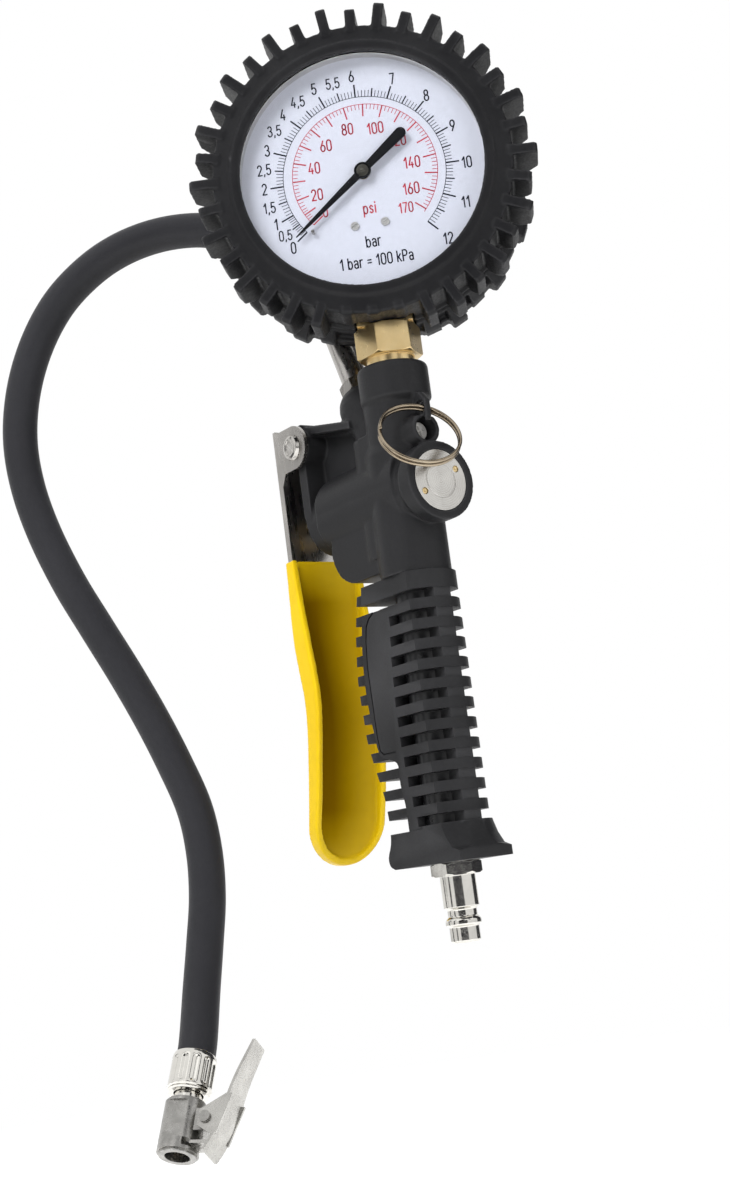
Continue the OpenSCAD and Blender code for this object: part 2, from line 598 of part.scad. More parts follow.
module bourdon_tube() {
    color("darkgoldenrod") gauge_frame() translate([0, 0, -3]) rotate(tube_a) difference() {
        rotate_extrude(angle = tube_sweep) translate([tube_bend_r, 0]) tube_oval(3, 5.5);
        rotate(1) rotate_extrude(angle = tube_sweep) translate([tube_bend_r, 0]) tube_oval(2.4, 4.9);
    }
}
module tube_oval(a, b) {
    translate([-a, -b + a]) square([2 * a, 2 * (b - a)]);
    for (s = [-1, 1]) translate([0, s * (b - a)]) circle(r = a, $fn = 32);
}
module tip_block() {
    color("peru") gauge_frame() rotate(tube_a) translate([tube_bend_r - 3, -5.2, -5]) difference() {
        cube([6, 5.1, 9]);
        translate([3, 2, -1]) cylinder(r = 0.8, h = 20);
    }
}
arbor = [12, -16.5];                      // sector gear's arbor, from the gauge's centre
pinion_teeth = 12;
sector_teeth = 90;                        // teeth that a whole sector wheel would have
tooth_m = norm(arbor) * 2 / (pinion_teeth + sector_teeth);
sector_turn = 270 * pinion_teeth / sector_teeth;
arbor_a = atan2(-arbor[1], -arbor[0]);    // direction from the arbor to the pinion
tail_l = 7;
tail_a = arbor_a + 180;
tail = arbor + tail_l * [cos(tail_a), sin(tail_a)];
tip_pin = tube_bend_r * [cos(tube_a), sin(tube_a)] + 3.2 * [sin(tube_a), -cos(tube_a)];
module plate_outline() {
    circle(r = 6);
    translate(arbor) circle(r = 4.5);
    translate([-7, -22]) square([16, 22]);
    translate([-7, socket_top - 8]) square([14, 12]);
}
pillars = [[-5.2, -4.4], [-5.2, -29]];
module movement_back_plate() {
    color("goldenrod") gauge_frame() translate([0, 0, 3]) linear_extrude(1.2) difference() {
        plate_outline();
        circle(r = 0.8 + fit);
        translate(arbor) circle(r = 0.8 + fit);
        for (p = pillars) translate(p) circle(r = 0.9 + fit);
    }
}
module movement_front_plate() {
    color("goldenrod") gauge_frame() translate([0, 0, 9]) linear_extrude(1.2) difference() {
        plate_outline();
        circle(r = 1.2 + fit);
        translate(arbor) circle(r = 0.8 + fit);
        for (p = pillars) translate(p) circle(r = 0.9 + fit);
        for (p = dial_fixings) translate(p) circle(r = 0.9 + fit);
    }
}
module movement_pillars() {
    color("gainsboro") gauge_frame() for (p = pillars) translate(p) union() {
        disc(0.9, 3, 11);
        disc(1.6, 4.2, 9);
        disc(1.7, 10.2, 11);
    }
}
dial_fixings = [[-5.3, -18.7], [5.3, -18.7]];
module dial_posts() {
    color("goldenrod") gauge_frame() for (p = dial_fixings) translate(p) pipe(2, 0.9 + fit, 10.2, dial_z - 0.6);
}
module dial_screws() {
    color("silver") gauge_frame() for (p = dial_fixings) translate(p) difference() {
        union() {
            disc(0.9, 9.1, dial_z + eps);
            disc(1.5, dial_z, dial_z + 0.6);
        }
        rotate(30) translate([-2, -0.2, dial_z + 0.3]) cube([4, 0.4, 1]);
    }
}
// Pin that stops the pointer from falling below its zero.
module dial_stop() {
    color("silver") gauge_frame() translate([-19.9, -18.8, 0]) disc(0.6, dial_z, dial_z + 2.6);
}
// One straight-sided tooth standing on a circle of radius r.
module tooth(r) {
    polygon([[r - 1.3 * tooth_m, -0.70 * tooth_m], [r + 0.85 * tooth_m, -0.28 * tooth_m],
             [r + 0.85 * tooth_m, 0.28 * tooth_m], [r - 1.3 * tooth_m, 0.70 * tooth_m]]);
}
module sector_gear() {
    rp = sector_teeth * tooth_m / 2;
    step = 360 / sector_teeth;
    color("darkkhaki") gauge_frame() translate([arbor[0], arbor[1], 0]) union() {
        translate([0, 0, 5.2]) linear_extrude(1) difference() {
            union() {
                circle(r = 3);
                rotate(arbor_a) for (k = [-11 : 1]) rotate((k + 0.5) * step) tooth(rp);
                intersection() {
                    difference() {
                        circle(r = rp - 1.1 * tooth_m);
                        circle(r = rp - 3);
                    }
                    rotate(arbor_a - 11.9 * step) polygon([[0, 0], [40, 0], [40, 40 * tan(14 * step)]]);
                }
                for (k = [-10.6, 0.6]) rotate(arbor_a + (k + 0.5) * step) translate([0, -0.9]) square([rp - 1.4, 1.8]);
                rotate(tail_a) translate([0, -1.2]) square([tail_l, 2.4]);
                translate(tail - arbor) circle(r = 1.6);
            }
            circle(r = 0.7);
            translate(tail - arbor) circle(r = 0.6 + fit);
        }
        disc(0.8, 3.2, 10);
        disc(1.6, 4.4, 6.4);
    }
}
module tip_link() {
    v = tip_pin - tail;
    color("gainsboro") gauge_frame() union() {
        translate([tail[0], tail[1], 0]) {
            translate([0, 0, 6.4]) linear_extrude(0.8) union() {
                circle(r = 1.5);
                rotate(atan2(v[1], v[0])) translate([0, -0.8]) square([norm(v), 1.6]);
            }
            disc(0.6, 5, 7);
        }
        translate([tip_pin[0], tip_pin[1], 6.4]) linear_extrude(0.8) circle(r = 1.5);
    }
}
module pinion() {
    rp = pinion_teeth * tooth_m / 2;
    color("darkkhaki") gauge_frame() union() {
        translate([0, 0, 4.6]) linear_extrude(2.2) union() {
            circle(r = rp - 1.1 * tooth_m);
            for (k = [0 : pinion_teeth - 1]) rotate(arbor_a + 180 + k * 360 / pinion_teeth) tooth(rp);
        }
        disc(0.8, 3.2, 5);
        disc(1.2, 6, pointer_z + 0.6);
    }
}
module hair_spring() {
    turns = 4;
    pts = [for (i = [0 : 24 * turns]) let (a = 15 * i, r = 1.9 + 0.75 * i / 24) [r, a]];
    color("goldenrod") gauge_frame() translate([0, 0, 7.4]) linear_extrude(0.8)
        polygon(concat([for (p = pts) (p[0] - 0.09) * [cos(p[1]), sin(p[1])]],
                       [for (i = [len(pts) - 1 : -1 : 0]) (pts[i][0] + 0.09) * [cos(pts[i][1]), sin(pts[i][1])]]));
}
// The pointer rests on the dial's zero, at the lower left.
pointer_z = dial_z + 2.3;                 // rear face of the pointer
pointer_a = 218;                          // direction of the dial's zero
pointer_l = 32.4;                         // from the hub to the tip
pointer_tail = 20;                        // from the hub to the blunt end
module pointer() {
    color([0.05, 0.05, 0.05]) gauge_frame() translate([0, 0, pointer_z]) difference() {
        union() {
            linear_extrude(0.5) rotate(pointer_a) union() {
                circle(r = 3.6);
                polygon([[0, 1.1], [pointer_l - 3, 0.55], [pointer_l, 0], [pointer_l - 3, -0.55], [0, -1.1]]);
                polygon([[0, -1.1], [-pointer_tail, -2], [-pointer_tail, 2], [0, 1.1]]);
            }
            cylinder(r = 2.6, h = 0.7);
        }
        translate([0, 0, -1]) cylinder(r = 1.2, h = 3);
    }
}
module pointer_cap() {
    color("silver") gauge_frame() disc(2.4, pointer_z + 0.7, pointer_z + 1.1);
}
module gauge_case() {
    color([0.2, 0.2, 0.21]) gauge_frame() difference() {
        disc(case_r, -case_back, case_front);
        disc(case_r - case_t - 1.6, -case_back + case_t, case_front + 1);
        disc(case_r - case_t, dial_z - 0.6, case_front + 1);
        translate([-socket_w / 2 - 0.2, -case_r - 1, -8.2]) cube([socket_w + 0.4, 6, 12]);
    }
}
module dial_plate() {
    color("aliceblue") gauge_frame() translate([0, 0, dial_z - 0.6]) linear_extrude(0.6) difference() {
        circle(r = case_r - case_t - fit);
        circle(r = 2.2);
        for (p = dial_fixings) translate(p) circle(r = 0.9 + fit);
    }
}
module spacer_ring() {
    color("silver") gauge_frame() pipe(case_r - case_t - fit, lip_r + 0.4, dial_z, glass_z);
}
module gauge_glass() {
    color([0.8, 0.9, 1, 0.3]) gauge_frame() disc(case_r - case_t - fit, glass_z, case_front);
}
module bezel() {
    color([0.3, 0.3, 0.32]) gauge_frame() pipe(case_r, lip_r + 0.2, case_front, case_front + 0.8);
}
boot_front = case_front + 2.2;            // front face of the boot's lip
boot_r = case_r + 0.2 + boot_t;
first_tooth = 77;                         // direction of one of the tall teeth
module boot_tooth(reach) {
    translate([0, tooth_w / 2, 0]) rotate([90, 0, 0]) linear_extrude(tooth_w)
        polygon([[boot_r - 3.4, boot_front - 4], [boot_r - 2.6, boot_front - 1.4], [boot_r - 2, boot_front - 0.8],
                 [reach - 1, boot_front - 0.8], [reach, boot_front - 2], [reach, 6], [reach - 3.4, 1.6], [boot_r - 2, 1.4]]);
}
module boot_paddle(reach) {
    translate([0, tooth_w * 0.8, 0]) rotate([90, 0, 0]) linear_extrude(tooth_w * 1.6)
        polygon([[boot_r - 2, -1], [boot_r + 1, -1], [reach - 3.2, -6.4], [reach - 2.8, -8],
                 [reach - 2.8, -11.6], [reach - 4.6, -case_back - 0.4], [boot_r - 2, -case_back - 0.4]]);
}
module boot_ring(r, a, b) {
    rotate_extrude($fn = 96) polygon([[boot_r - 1, a], [r - 0.4, a], [r, a + 0.4], [r, b - 0.4], [r - 0.4, b], [boot_r - 1, b]]);
}
module rubber_boot() {
    color([0.12, 0.12, 0.13]) gauge_frame() difference() {
        union() {
            rotate_extrude($fn = 96) polygon([
                [case_r + 0.2, -case_back - 0.2], [38, -case_back - 0.2], [37, -case_back - 2.2],
                [boot_r - 1, -case_back - 2.2], [boot_r, -case_back - 1.2], [boot_r, boot_front - 1.9],
                [boot_r - 0.4, boot_front - 1.5], [case_r + 0.9, boot_front - 0.9], [case_r + 0.5, boot_front - 0.9],
                [case_r, boot_front - 0.2], [case_r - 0.6, boot_front], [lip_r + 0.6, boot_front],
                [lip_r, boot_front - 0.6], [lip_r, case_front + 1], [case_r + 0.2, case_front + 1]]);
            for (z = [2.5, -2]) boot_ring(boot_r + 1.2, z, z + 1.4);
            boot_ring(boot_r + 2.1, -case_back - 1, -case_back + 5);
            for (k = [0 : tooth_count - 1]) let (a = first_tooth + k * 360 / tooth_count,
                    reach = k % 2 == 0 ? tooth_tall_r : tooth_short_r,
                    from_neck = abs((a + 90 + 180) % 360 - 180))
                rotate(a) {
                    boot_tooth(from_neck < 15 ? boot_r + 0.6 : reach);
                    if (from_neck > 15) boot_paddle(reach);
                }
        }
        // cut-out for the gauge's neck, and room over the hexagon
        translate([-flange_w / 2 - 0.6, -case_r - 24, -flange_h / 2 - 0.6]) cube([flange_w + 1.2, 27, flange_h + 1.2]);
        translate([-flange_w / 2 - 2.6, -case_r - 24, -case_back - 4])
            cube([flange_w + 5.2, 23.6 - boot_t, case_back + 14]);
    }
}

// ---- hose ----
port_dir = [-sin(port_lean), 0, cos(port_lean)];
port_face = port_base + port_l * port_dir;
fitting_l = 30;                           // from the port's face to the upper ferrule
chuck_dir = unit([0.281, -0.460, -0.842]);
module hose_fitting() {
    color("gainsboro") port_frame() difference() {
        union() {
            disc(5, port_l - 8.5, port_l + eps);
            hex_bar(11.5, port_l, port_l + 4.6, 0.8);
            disc(4.9, port_l + 4.5, port_l + fitting_l);
            disc(2.9, port_l + fitting_l - eps, port_l + fitting_l + ferrule_l - 1);
        }
        disc(1.6, port_l - 9, port_l + fitting_l + ferrule_l);
    }
}
module fitting_seal() { color("dimgray") port_frame() pipe(5, 2.6, port_l - 9, port_l - 8.5); }
// A crimped ferrule about Z: its mouth is at z = 0 and its closed end at z = -ferrule_l.
module ferrule_shape() {
    difference() {
        union() {
            disc(ferrule_d / 2, -ferrule_l, -0.6);
            disc(ferrule_d / 2 - 0.4, -1, 0);
        }
        disc(hose_d / 2 + fit, -ferrule_l + 1, 1);
        disc(5, -ferrule_l - 1, 1);
        for (k = [0 : 11]) rotate(k * 30) translate([ferrule_d / 2 + 0.9, 0, 0]) disc(1.3, -ferrule_l + 2.6, -2);
        translate([0, 0, -ferrule_l + 1.6]) pipe(ferrule_d, ferrule_d / 2 - 0.5, 0, 0.7);
    }
}
module upper_ferrule() {
    color("gainsboro") port_frame() translate([0, 0, port_l + fitting_l + ferrule_l]) ferrule_shape();
}
// Middle line of the hose between the two ferrules.
hose_route = [[-36, -0.5, 221], [-40.5, -3, 229], [-47, -7, 237], [-54.5, -12, 243.5], [-63, -18, 249],
    [-73, -26.5, 253.5], [-84, -37, 254.5], [-94, -48, 251.5], [-103, -58, 245], [-111, -68, 234],
    [-117, -76, 219], [-122, -81, 202], [-125, -83, 184], [-125, -82, 166], [-121.5, -79, 147],
    [-115, -74, 126], [-108, -68, 107], [-100.6, -62, 88], [-93.8, -57, 70], [-88, -53, 53],
    [-82.6, -50, 36], [-79, -50, 20], [-76, -52.5, 4], [-73.5, -57, -12], [-69.5, -62.5, -27]];
hose_end = [-61.3, -72.2, -48.2];
hose_start = port_face + (fitting_l + 1) * port_dir;
module hose() {
    line = smooth_line(concat([hose_start, port_face + (fitting_l + 8) * port_dir], hose_route,
                              [hose_end - 5 * chuck_dir, hose_end + 4 * chuck_dir]), 2);
    color([0.1, 0.1, 0.1]) swept_tube(concat([for (i = [0 : len(line) - 2]) line[i]], [hose_end + (ferrule_l - 1) * chuck_dir]),
                                      hose_d / 2, 12);
}

// ---- chuck at the hose's end: its frame has +Z along the chuck to its mouth ----
module chuck_frame() {
    x = unit([0.802, 0.595, -0.057] - chuck_dir * (chuck_dir * [0.802, 0.595, -0.057]));
    y = cross(chuck_dir, x);
    multmatrix([[x[0], y[0], chuck_dir[0], hose_end[0]], [x[1], y[1], chuck_dir[1], hose_end[1]],
                [x[2], y[2], chuck_dir[2], hose_end[2]], [0, 0, 0, 1]]) children();
}
neck_l = 2.6;                             // visible neck between ferrule and chuck body
body_a = ferrule_l + neck_l;              // start of the chuck's body
body_b = body_a + chuck_l;                // face of the chuck's mouth
mouth_l = 6;                              // depth of the mouth down to its seal
clip_px = 10.3;                           // clip's pivot, beside the chuck's axis
clip_pz = body_a + 7.7;
module chuck_ferrule() {
    color("gainsboro") chuck_frame() rotate([180, 0, 0]) ferrule_shape();
}
module chuck_tail() {
    color("gainsboro") chuck_frame() difference() {
        union() {
            disc(2.9, 1.2, ferrule_l + eps);
            disc(4.6, ferrule_l - 0.98, body_a);
            disc(4, body_a - eps, body_a + 6);
        }
        disc(1.6, 0, body_a + 7);
    }
}
module chuck_body() {
    color("silver") chuck_frame() difference() {
        union() {
            disc(chuck_d / 2 - 0.7, body_a, body_b);
            disc(chuck_d / 2, body_a + 0.8, body_b - 0.8);
            // block that carries the clip
            translate([0, -clip_w / 2 + 2, clip_pz - 4]) cube([clip_px, clip_w - 4, 7.4]);
            translate([clip_px, 0, clip_pz]) rotate([90, 0, 0]) disc(2.6, -clip_w / 2 + 2, clip_w / 2 - 2);
        }
        disc(4 + fit, body_a - 1, body_a + 6.2);
        disc(1.6, body_a, body_b);
        disc(mouth_d / 2, body_b - mouth_l, body_b + 1);
        disc(mouth_d / 2 - 0.4, body_b - mouth_l - 3, body_b);
        // flats
        for (s = [-1, 1]) translate([-20, s * (chuck_d / 2 - 0.9) + (s > 0 ? 0 : -5), body_a + 1.5]) cube([40, 5, chuck_l - 6]);
        // slot for the clip's claw
        translate([3.4, -clip_w / 2 - 1, body_b - 4.4]) cube([10, clip_w + 2, 2.5]);
        translate([clip_px, 0, clip_pz]) rotate([90, 0, 0]) disc(1.2 + fit, -10, 10);
    }
}
module chuck_seal() {
    color("dimgray") chuck_frame() pipe(mouth_d / 2 - 0.4 - fit, 2.2, body_b - mouth_l - 3, body_b - mouth_l);
}
module valve_opener() {
    color("goldenrod") chuck_frame() difference() {
        union() {
            disc(1.5, body_b - mouth_l - 6, body_b - mouth_l - 0.3);
            disc(2.1, body_b - mouth_l - 3, body_b - mouth_l - 1.6);
        }
        disc(0.6, body_b - mouth_l - 7, body_b - mouth_l - 1.4);
    }
}
module clip_pin() {
    color("silver") chuck_frame() translate([clip_px, 0, clip_pz]) rotate([90, 0, 0]) union() {
        disc(1.2, -clip_w / 2 - 0.3, clip_w / 2 + 0.3);
        for (s = [0, 1]) mirror([0, 0, s]) disc(1.9, clip_w / 2 + flat_gap, clip_w / 2 + 1);
    }
}
// Outer face of the clip's back, seen along its pin: [from the chuck's axis, along the axis].
clip_back = [[22.7, -3.6], [20.6, 3], [19, 8.5], [17.9, 13.5], [17, 19], [15.8, 25], [13.8, 30.4], [11.6, body_b]];
clip_t = 1;           // thickness of the clip's steel
clip_tip_w = 6;       // width of the clip at its finger end
module clip_outline(w) {
    pts = smooth_line(clip_back, 3);
    polygon(concat(pts, [for (i = [len(pts) - 1 : -1 : 0]) pts[i] - [w, 0]]));
}
module chuck_clip() {
    ears = [[clip_px - 2.6, clip_pz + 2.6], [clip_px - 2.6, clip_pz - 2.6], [clip_px + 6, clip_pz - 8],
            [clip_px + 8.2, clip_pz - 8], [clip_px + 6.4, clip_pz - 1], [clip_px + 4.6, clip_pz + 5.4], [clip_px + 2, clip_pz + 5.4]];
    color("silver") chuck_frame() difference() {
        union() {
            intersection() {
                rotate([90, 0, 0]) translate([0, 0, -clip_w / 2]) linear_extrude(clip_w) clip_outline(clip_t);
                // the back narrows towards the finger end
                rotate([0, 90, 0]) linear_extrude(40) polygon([[20, -clip_tip_w / 2], [-clip_pz + 8, -clip_w / 2],
                    [-60, -clip_w / 2], [-60, clip_w / 2], [-clip_pz + 8, clip_w / 2], [20, clip_tip_w / 2]]);
            }
            for (s = [-clip_w / 2, clip_w / 2 - clip_t]) rotate([90, 0, 0]) translate([0, 0, s])
                linear_extrude(clip_t) polygon(ears);
            // claw that reaches into the mouth's slot
            translate([0, clip_w / 2 - 2, 0]) rotate([90, 0, 0]) linear_extrude(clip_w - 4)
                polygon([[12.4, body_b - 1.2], [12.4, body_b - 4.1], [5.2, body_b - 4.1], [5.2, body_b - 3], [10.8, body_b - 3], [10.8, body_b - 1.2]]);
        }
        translate([clip_px, 0, clip_pz]) rotate([90, 0, 0]) disc(1.2 + fit, -20, 20);
    }
}
module clip_spring() {
    color("silver") chuck_frame() translate([clip_px, 0, clip_pz]) rotate([90, 0, 0])
        swept_tube(coil_line(1.62, clip_w / 2 - 1.6, clip_w / 2 - 1.4, 0.75), 0.25, 6, [0, 0, 1]);
}

inlet_plug();
plug_seal();
grip();
air_tube();
tube_seal();
valve_body();
valve_seat();
stem_guide();
stem_seal();
valve_stem();
poppet();
poppet_washer();
valve_spring();
valve_cap();
boss_screw();
trigger_frame();
trigger_sleeve();
pivot_rivet();
split_ring();
neck_adapter();
neck_seal();
gauge_socket();
bourdon_tube();
tip_block();
tip_link();
sector_gear();
pinion();
hair_spring();
movement_back_plate();
movement_front_plate();
movement_pillars();
dial_posts();
dial_screws();
dial_stop();
gauge_case();
dial_plate();
spacer_ring();
gauge_glass();
bezel();
pointer();
pointer_cap();
rubber_boot();
hose_fitting();
fitting_seal();
upper_ferrule();
hose();
chuck_ferrule();
chuck_tail();
chuck_body();
chuck_seal();
valve_opener();
clip_pin();
chuck_clip();
clip_spring();
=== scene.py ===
"""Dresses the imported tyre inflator: gauge, boot, grip, trigger, hose and chuck."""

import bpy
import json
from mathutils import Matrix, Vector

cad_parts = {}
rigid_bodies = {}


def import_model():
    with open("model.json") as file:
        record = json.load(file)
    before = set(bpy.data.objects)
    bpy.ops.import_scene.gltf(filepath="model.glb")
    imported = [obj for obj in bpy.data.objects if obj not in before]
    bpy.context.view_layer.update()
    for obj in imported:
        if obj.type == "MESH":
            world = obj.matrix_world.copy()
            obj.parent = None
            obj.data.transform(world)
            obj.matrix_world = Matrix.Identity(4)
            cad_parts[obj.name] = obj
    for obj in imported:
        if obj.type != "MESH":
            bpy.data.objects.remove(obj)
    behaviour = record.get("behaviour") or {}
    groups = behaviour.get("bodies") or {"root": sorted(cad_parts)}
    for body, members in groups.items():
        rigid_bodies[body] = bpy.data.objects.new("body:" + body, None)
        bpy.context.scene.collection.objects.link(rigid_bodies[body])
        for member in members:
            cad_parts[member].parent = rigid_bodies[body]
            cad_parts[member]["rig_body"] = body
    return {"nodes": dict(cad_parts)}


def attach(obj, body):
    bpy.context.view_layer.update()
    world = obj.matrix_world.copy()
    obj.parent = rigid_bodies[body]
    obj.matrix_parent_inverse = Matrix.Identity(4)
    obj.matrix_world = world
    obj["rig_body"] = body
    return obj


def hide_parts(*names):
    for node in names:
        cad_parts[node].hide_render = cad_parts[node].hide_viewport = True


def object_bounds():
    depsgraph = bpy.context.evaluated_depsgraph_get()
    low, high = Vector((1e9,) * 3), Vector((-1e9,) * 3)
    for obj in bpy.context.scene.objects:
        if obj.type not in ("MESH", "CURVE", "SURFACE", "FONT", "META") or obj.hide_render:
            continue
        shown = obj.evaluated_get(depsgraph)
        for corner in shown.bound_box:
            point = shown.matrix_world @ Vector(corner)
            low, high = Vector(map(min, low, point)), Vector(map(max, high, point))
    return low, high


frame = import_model()
CAD_BOX = [list(corner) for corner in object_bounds()]

import json
import math

import bmesh
import bpy
import numpy as np
from mathutils import Matrix, Vector

bl_info = {
    "name": "Tyre inflator",
    "version": (1, 0, 0),
    "blender": (4, 5, 0),
    "location": "3D View > Sidebar > Inflator",
    "description": "Makes the visible pieces of a hand-held tyre inflator around its solids",
    "category": "Object",
}

MM = 0.001
ROOT = "inflator"


# ---- frames that pieces are drawn in: columns are x, y, z and the origin ----
def unit(v):
    """A direction of length one."""
    return v / np.linalg.norm(v)


def square_to(axis, v):
    """The direction that is left of v when its share along an axis is taken away."""
    return unit(v - axis * (axis @ v))


def frame_at(origin, x, y, z):
    """A 4 by 4 matrix from three directions and an origin in millimetres."""
    made = np.eye(4)
    made[:3, 0], made[:3, 1], made[:3, 2] = x, y, z
    made[:3, 3] = np.array(origin) * MM
    return made


def leaned(origin, angle):
    """A frame whose z leans from vertical towards -X by an angle in degrees."""
    a = math.radians(angle)
    return frame_at(origin, (math.cos(a), 0, math.sin(a)), (0, 1, 0), (-math.sin(a), 0, math.cos(a)))


GAUGE_TURN = math.radians(40.5)
GAUGE = frame_at(
    (2, 0, 243),
    (math.sin(GAUGE_TURN), math.cos(GAUGE_TURN), 0),
    (0, 0, 1),
    (math.cos(GAUGE_TURN), -math.sin(GAUGE_TURN), 0),
)
UPRIGHT = frame_at((0, 0, 0), (1, 0, 0), (0, 1, 0), (0, 0, 1))
VALVE_Z = 130.8
CAP_FACE = 20.7  # from the valve's middle to the outer face of its cap
VALVE = frame_at((0, 0, VALVE_Z), (0, 0, -1), (0, 1, 0), (1, 0, 0))
PIVOT = frame_at((-45, 0, 160), (1, 0, 0), (0, 0, 1), (0, -1, 0))
PORT_LEAN = 20.5
PORT_FOOT = np.array((-11.5, 0, 155))
PORT = leaned(PORT_FOOT, PORT_LEAN)
HOSE_END = np.array((-61.3, -72.2, -48.2))
CHUCK_DIR = unit(np.array((0.281, -0.460, -0.842)))
CHUCK_SIDE = square_to(CHUCK_DIR, np.array((0.802, 0.595, -0.057)))
CHUCK = frame_at(HOSE_END, CHUCK_SIDE, np.cross(CHUCK_DIR, CHUCK_SIDE), CHUCK_DIR)

HOSE_D = 13.0
FERRULE_D = 15.0
FERRULE_L = 13.5
FITTING_L = 30.0
PORT_L = 19.0
PORT_DIR = PORT[:3, 2]
PORT_FACE = PORT_FOOT + PORT_L * PORT_DIR
FERRULE_MOUTH = PORT_FACE + (FITTING_L + FERRULE_L) * PORT_DIR
# points that the hose's middle passes through, from the upper ferrule to the chuck
HOSE_ROUTE = (
    (-36, -0.5, 221), (-40.5, -3, 229), (-47, -7, 237), (-54.5, -12, 243.5), (-63, -18, 249),
    (-73, -26.5, 253.5), (-84, -37, 254.5), (-94, -48, 251.5), (-103, -58, 245), (-111, -68, 234),
    (-117, -76, 219), (-122, -81, 202), (-125, -83, 184), (-125, -82, 166), (-121.5, -79, 147),
    (-115, -74, 126), (-108, -68, 107), (-100.6, -62, 88), (-93.8, -57, 70), (-88, -53, 53),
    (-82.6, -50, 36), (-79, -50, 20), (-76, -52.5, 4), (-73.5, -57, -12), (-69.5, -62.5, -27),
)
DIAL_Z = 12.9
PRINT_LOW, PRINT_HIGH = DIAL_Z - 0.02, DIAL_Z + 0.03


# ---- surfaces worked out on grids ----
def world(points, place):
    """Points in millimetres in one frame, as metres in the part's own frame."""
    p = np.asarray(points, float).reshape(-1, 3) * MM
    return p @ place[:3, :3].T + place[:3, 3]


def reworked(mesh, merge=None, flat=None, turn_out=False):
    """A mesh with its doubles and thin faces merged below two lengths, its faces joined where they lie within
    an angle of flat, and its faces turned outwards: each as asked."""
    work = bmesh.new()
    work.from_mesh(mesh)
    if merge:
        bmesh.ops.remove_doubles(work, verts=work.verts, dist=merge[0])
        bmesh.ops.dissolve_degenerate(work, edges=work.edges, dist=merge[1])
    if flat:
        bmesh.ops.dissolve_limit(work, angle_limit=math.radians(flat), verts=work.verts, edges=work.edges)
    if turn_out:
        bmesh.ops.recalc_face_normals(work, faces=work.faces)
    work.to_mesh(mesh)
    work.free()
    return mesh


def piece(name, points, faces, material, body=ROOT, slot=None, stands_for=(), seal=True):
    """A mesh object at the origin from points in metres and faces. With seal, doubles are merged and faces
    turned out."""
    mesh = bpy.data.meshes.new(name)
    mesh.from_pydata(np.asarray(points).tolist(), [], np.asarray(faces).tolist())
    if seal:
        reworked(mesh, merge=(1e-7, 1e-8), turn_out=True)
    return listed(mesh, name, material, body, stands_for)


def triples(items, key):
    """Rows of three numbers read from a mesh's vertices."""
    out = np.zeros(len(items) * 3)
    items.foreach_get(key, out)
    return out.reshape(-1, 3)


def numbers(items, key):
    """Whole numbers read from a mesh's loops or faces."""
    out = np.zeros(len(items), np.int32)
    items.foreach_get(key, out)
    return out


def listed(mesh, name, material, body, stands_for):
    """Links a finished mesh as a piece that rides on a body and stands for CAD nodes."""
    made = bpy.data.objects.new(name, mesh)
    bpy.context.scene.collection.objects.link(made)
    mesh.materials.clear()
    mesh.materials.append(material)
    mesh.polygons.foreach_set("use_smooth", np.ones(len(mesh.polygons), bool))
    mesh.polygons.foreach_set("material_index", np.zeros(len(mesh.polygons), np.int32))
    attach(made, body)
    if stands_for:
        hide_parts(*stands_for)
    return made


def creased(made, angle=35):
    """Edges sharper than the angle keep a hard shade."""
    made.data.set_sharp_from_angle(angle=math.radians(angle))
    return made


def grid_faces(rows, cols, loop_rows=False):
    """Quads between neighbouring rows of a grid whose columns close into rings."""
    i = np.arange(rows if loop_rows else rows - 1)[:, None]
    j = np.arange(cols)[None, :]
    k, n = (i + 1) % rows, (j + 1) % cols
    return np.stack([i * cols + j, i * cols + n, k * cols + n, k * cols + j], -1).reshape(-1, 4)


def rounded(points, cut, closed=False, steps=5):
    """Each corner of a line becomes a parabola between the points that lie cut before and after it."""
    p = np.array(points, float)
    out, t = [], np.linspace(0, 1, steps)[:, None]
    for i, corner in enumerate(p):
        if not closed and i in (0, len(p) - 1):
            out.append(corner[None])
            continue
        before, after = p[i - 1] - corner, p[(i + 1) % len(p)] - corner
        before = corner + before * min(cut / np.linalg.norm(before), 0.45)
        after = corner + after * min(cut / np.linalg.norm(after), 0.45)
        out.append((1 - t) ** 2 * before + 2 * t * (1 - t) * corner + t**2 * after)
    return np.concatenate(out)


def held(line, closed, gap=0.12):
    """A line with two more points on each long span, a small gap inside its ends, so that its face shades
    straight."""
    out = []
    for a, b in zip(line, np.roll(line, -1, 0) if closed else line[1:]):
        out.append(a)
        long = np.linalg.norm(b - a)
        if long > 6 * gap:
            out += [a + (b - a) * gap / long, b - (b - a) * gap / long]
    return np.array(out if closed else out + [line[-1]])


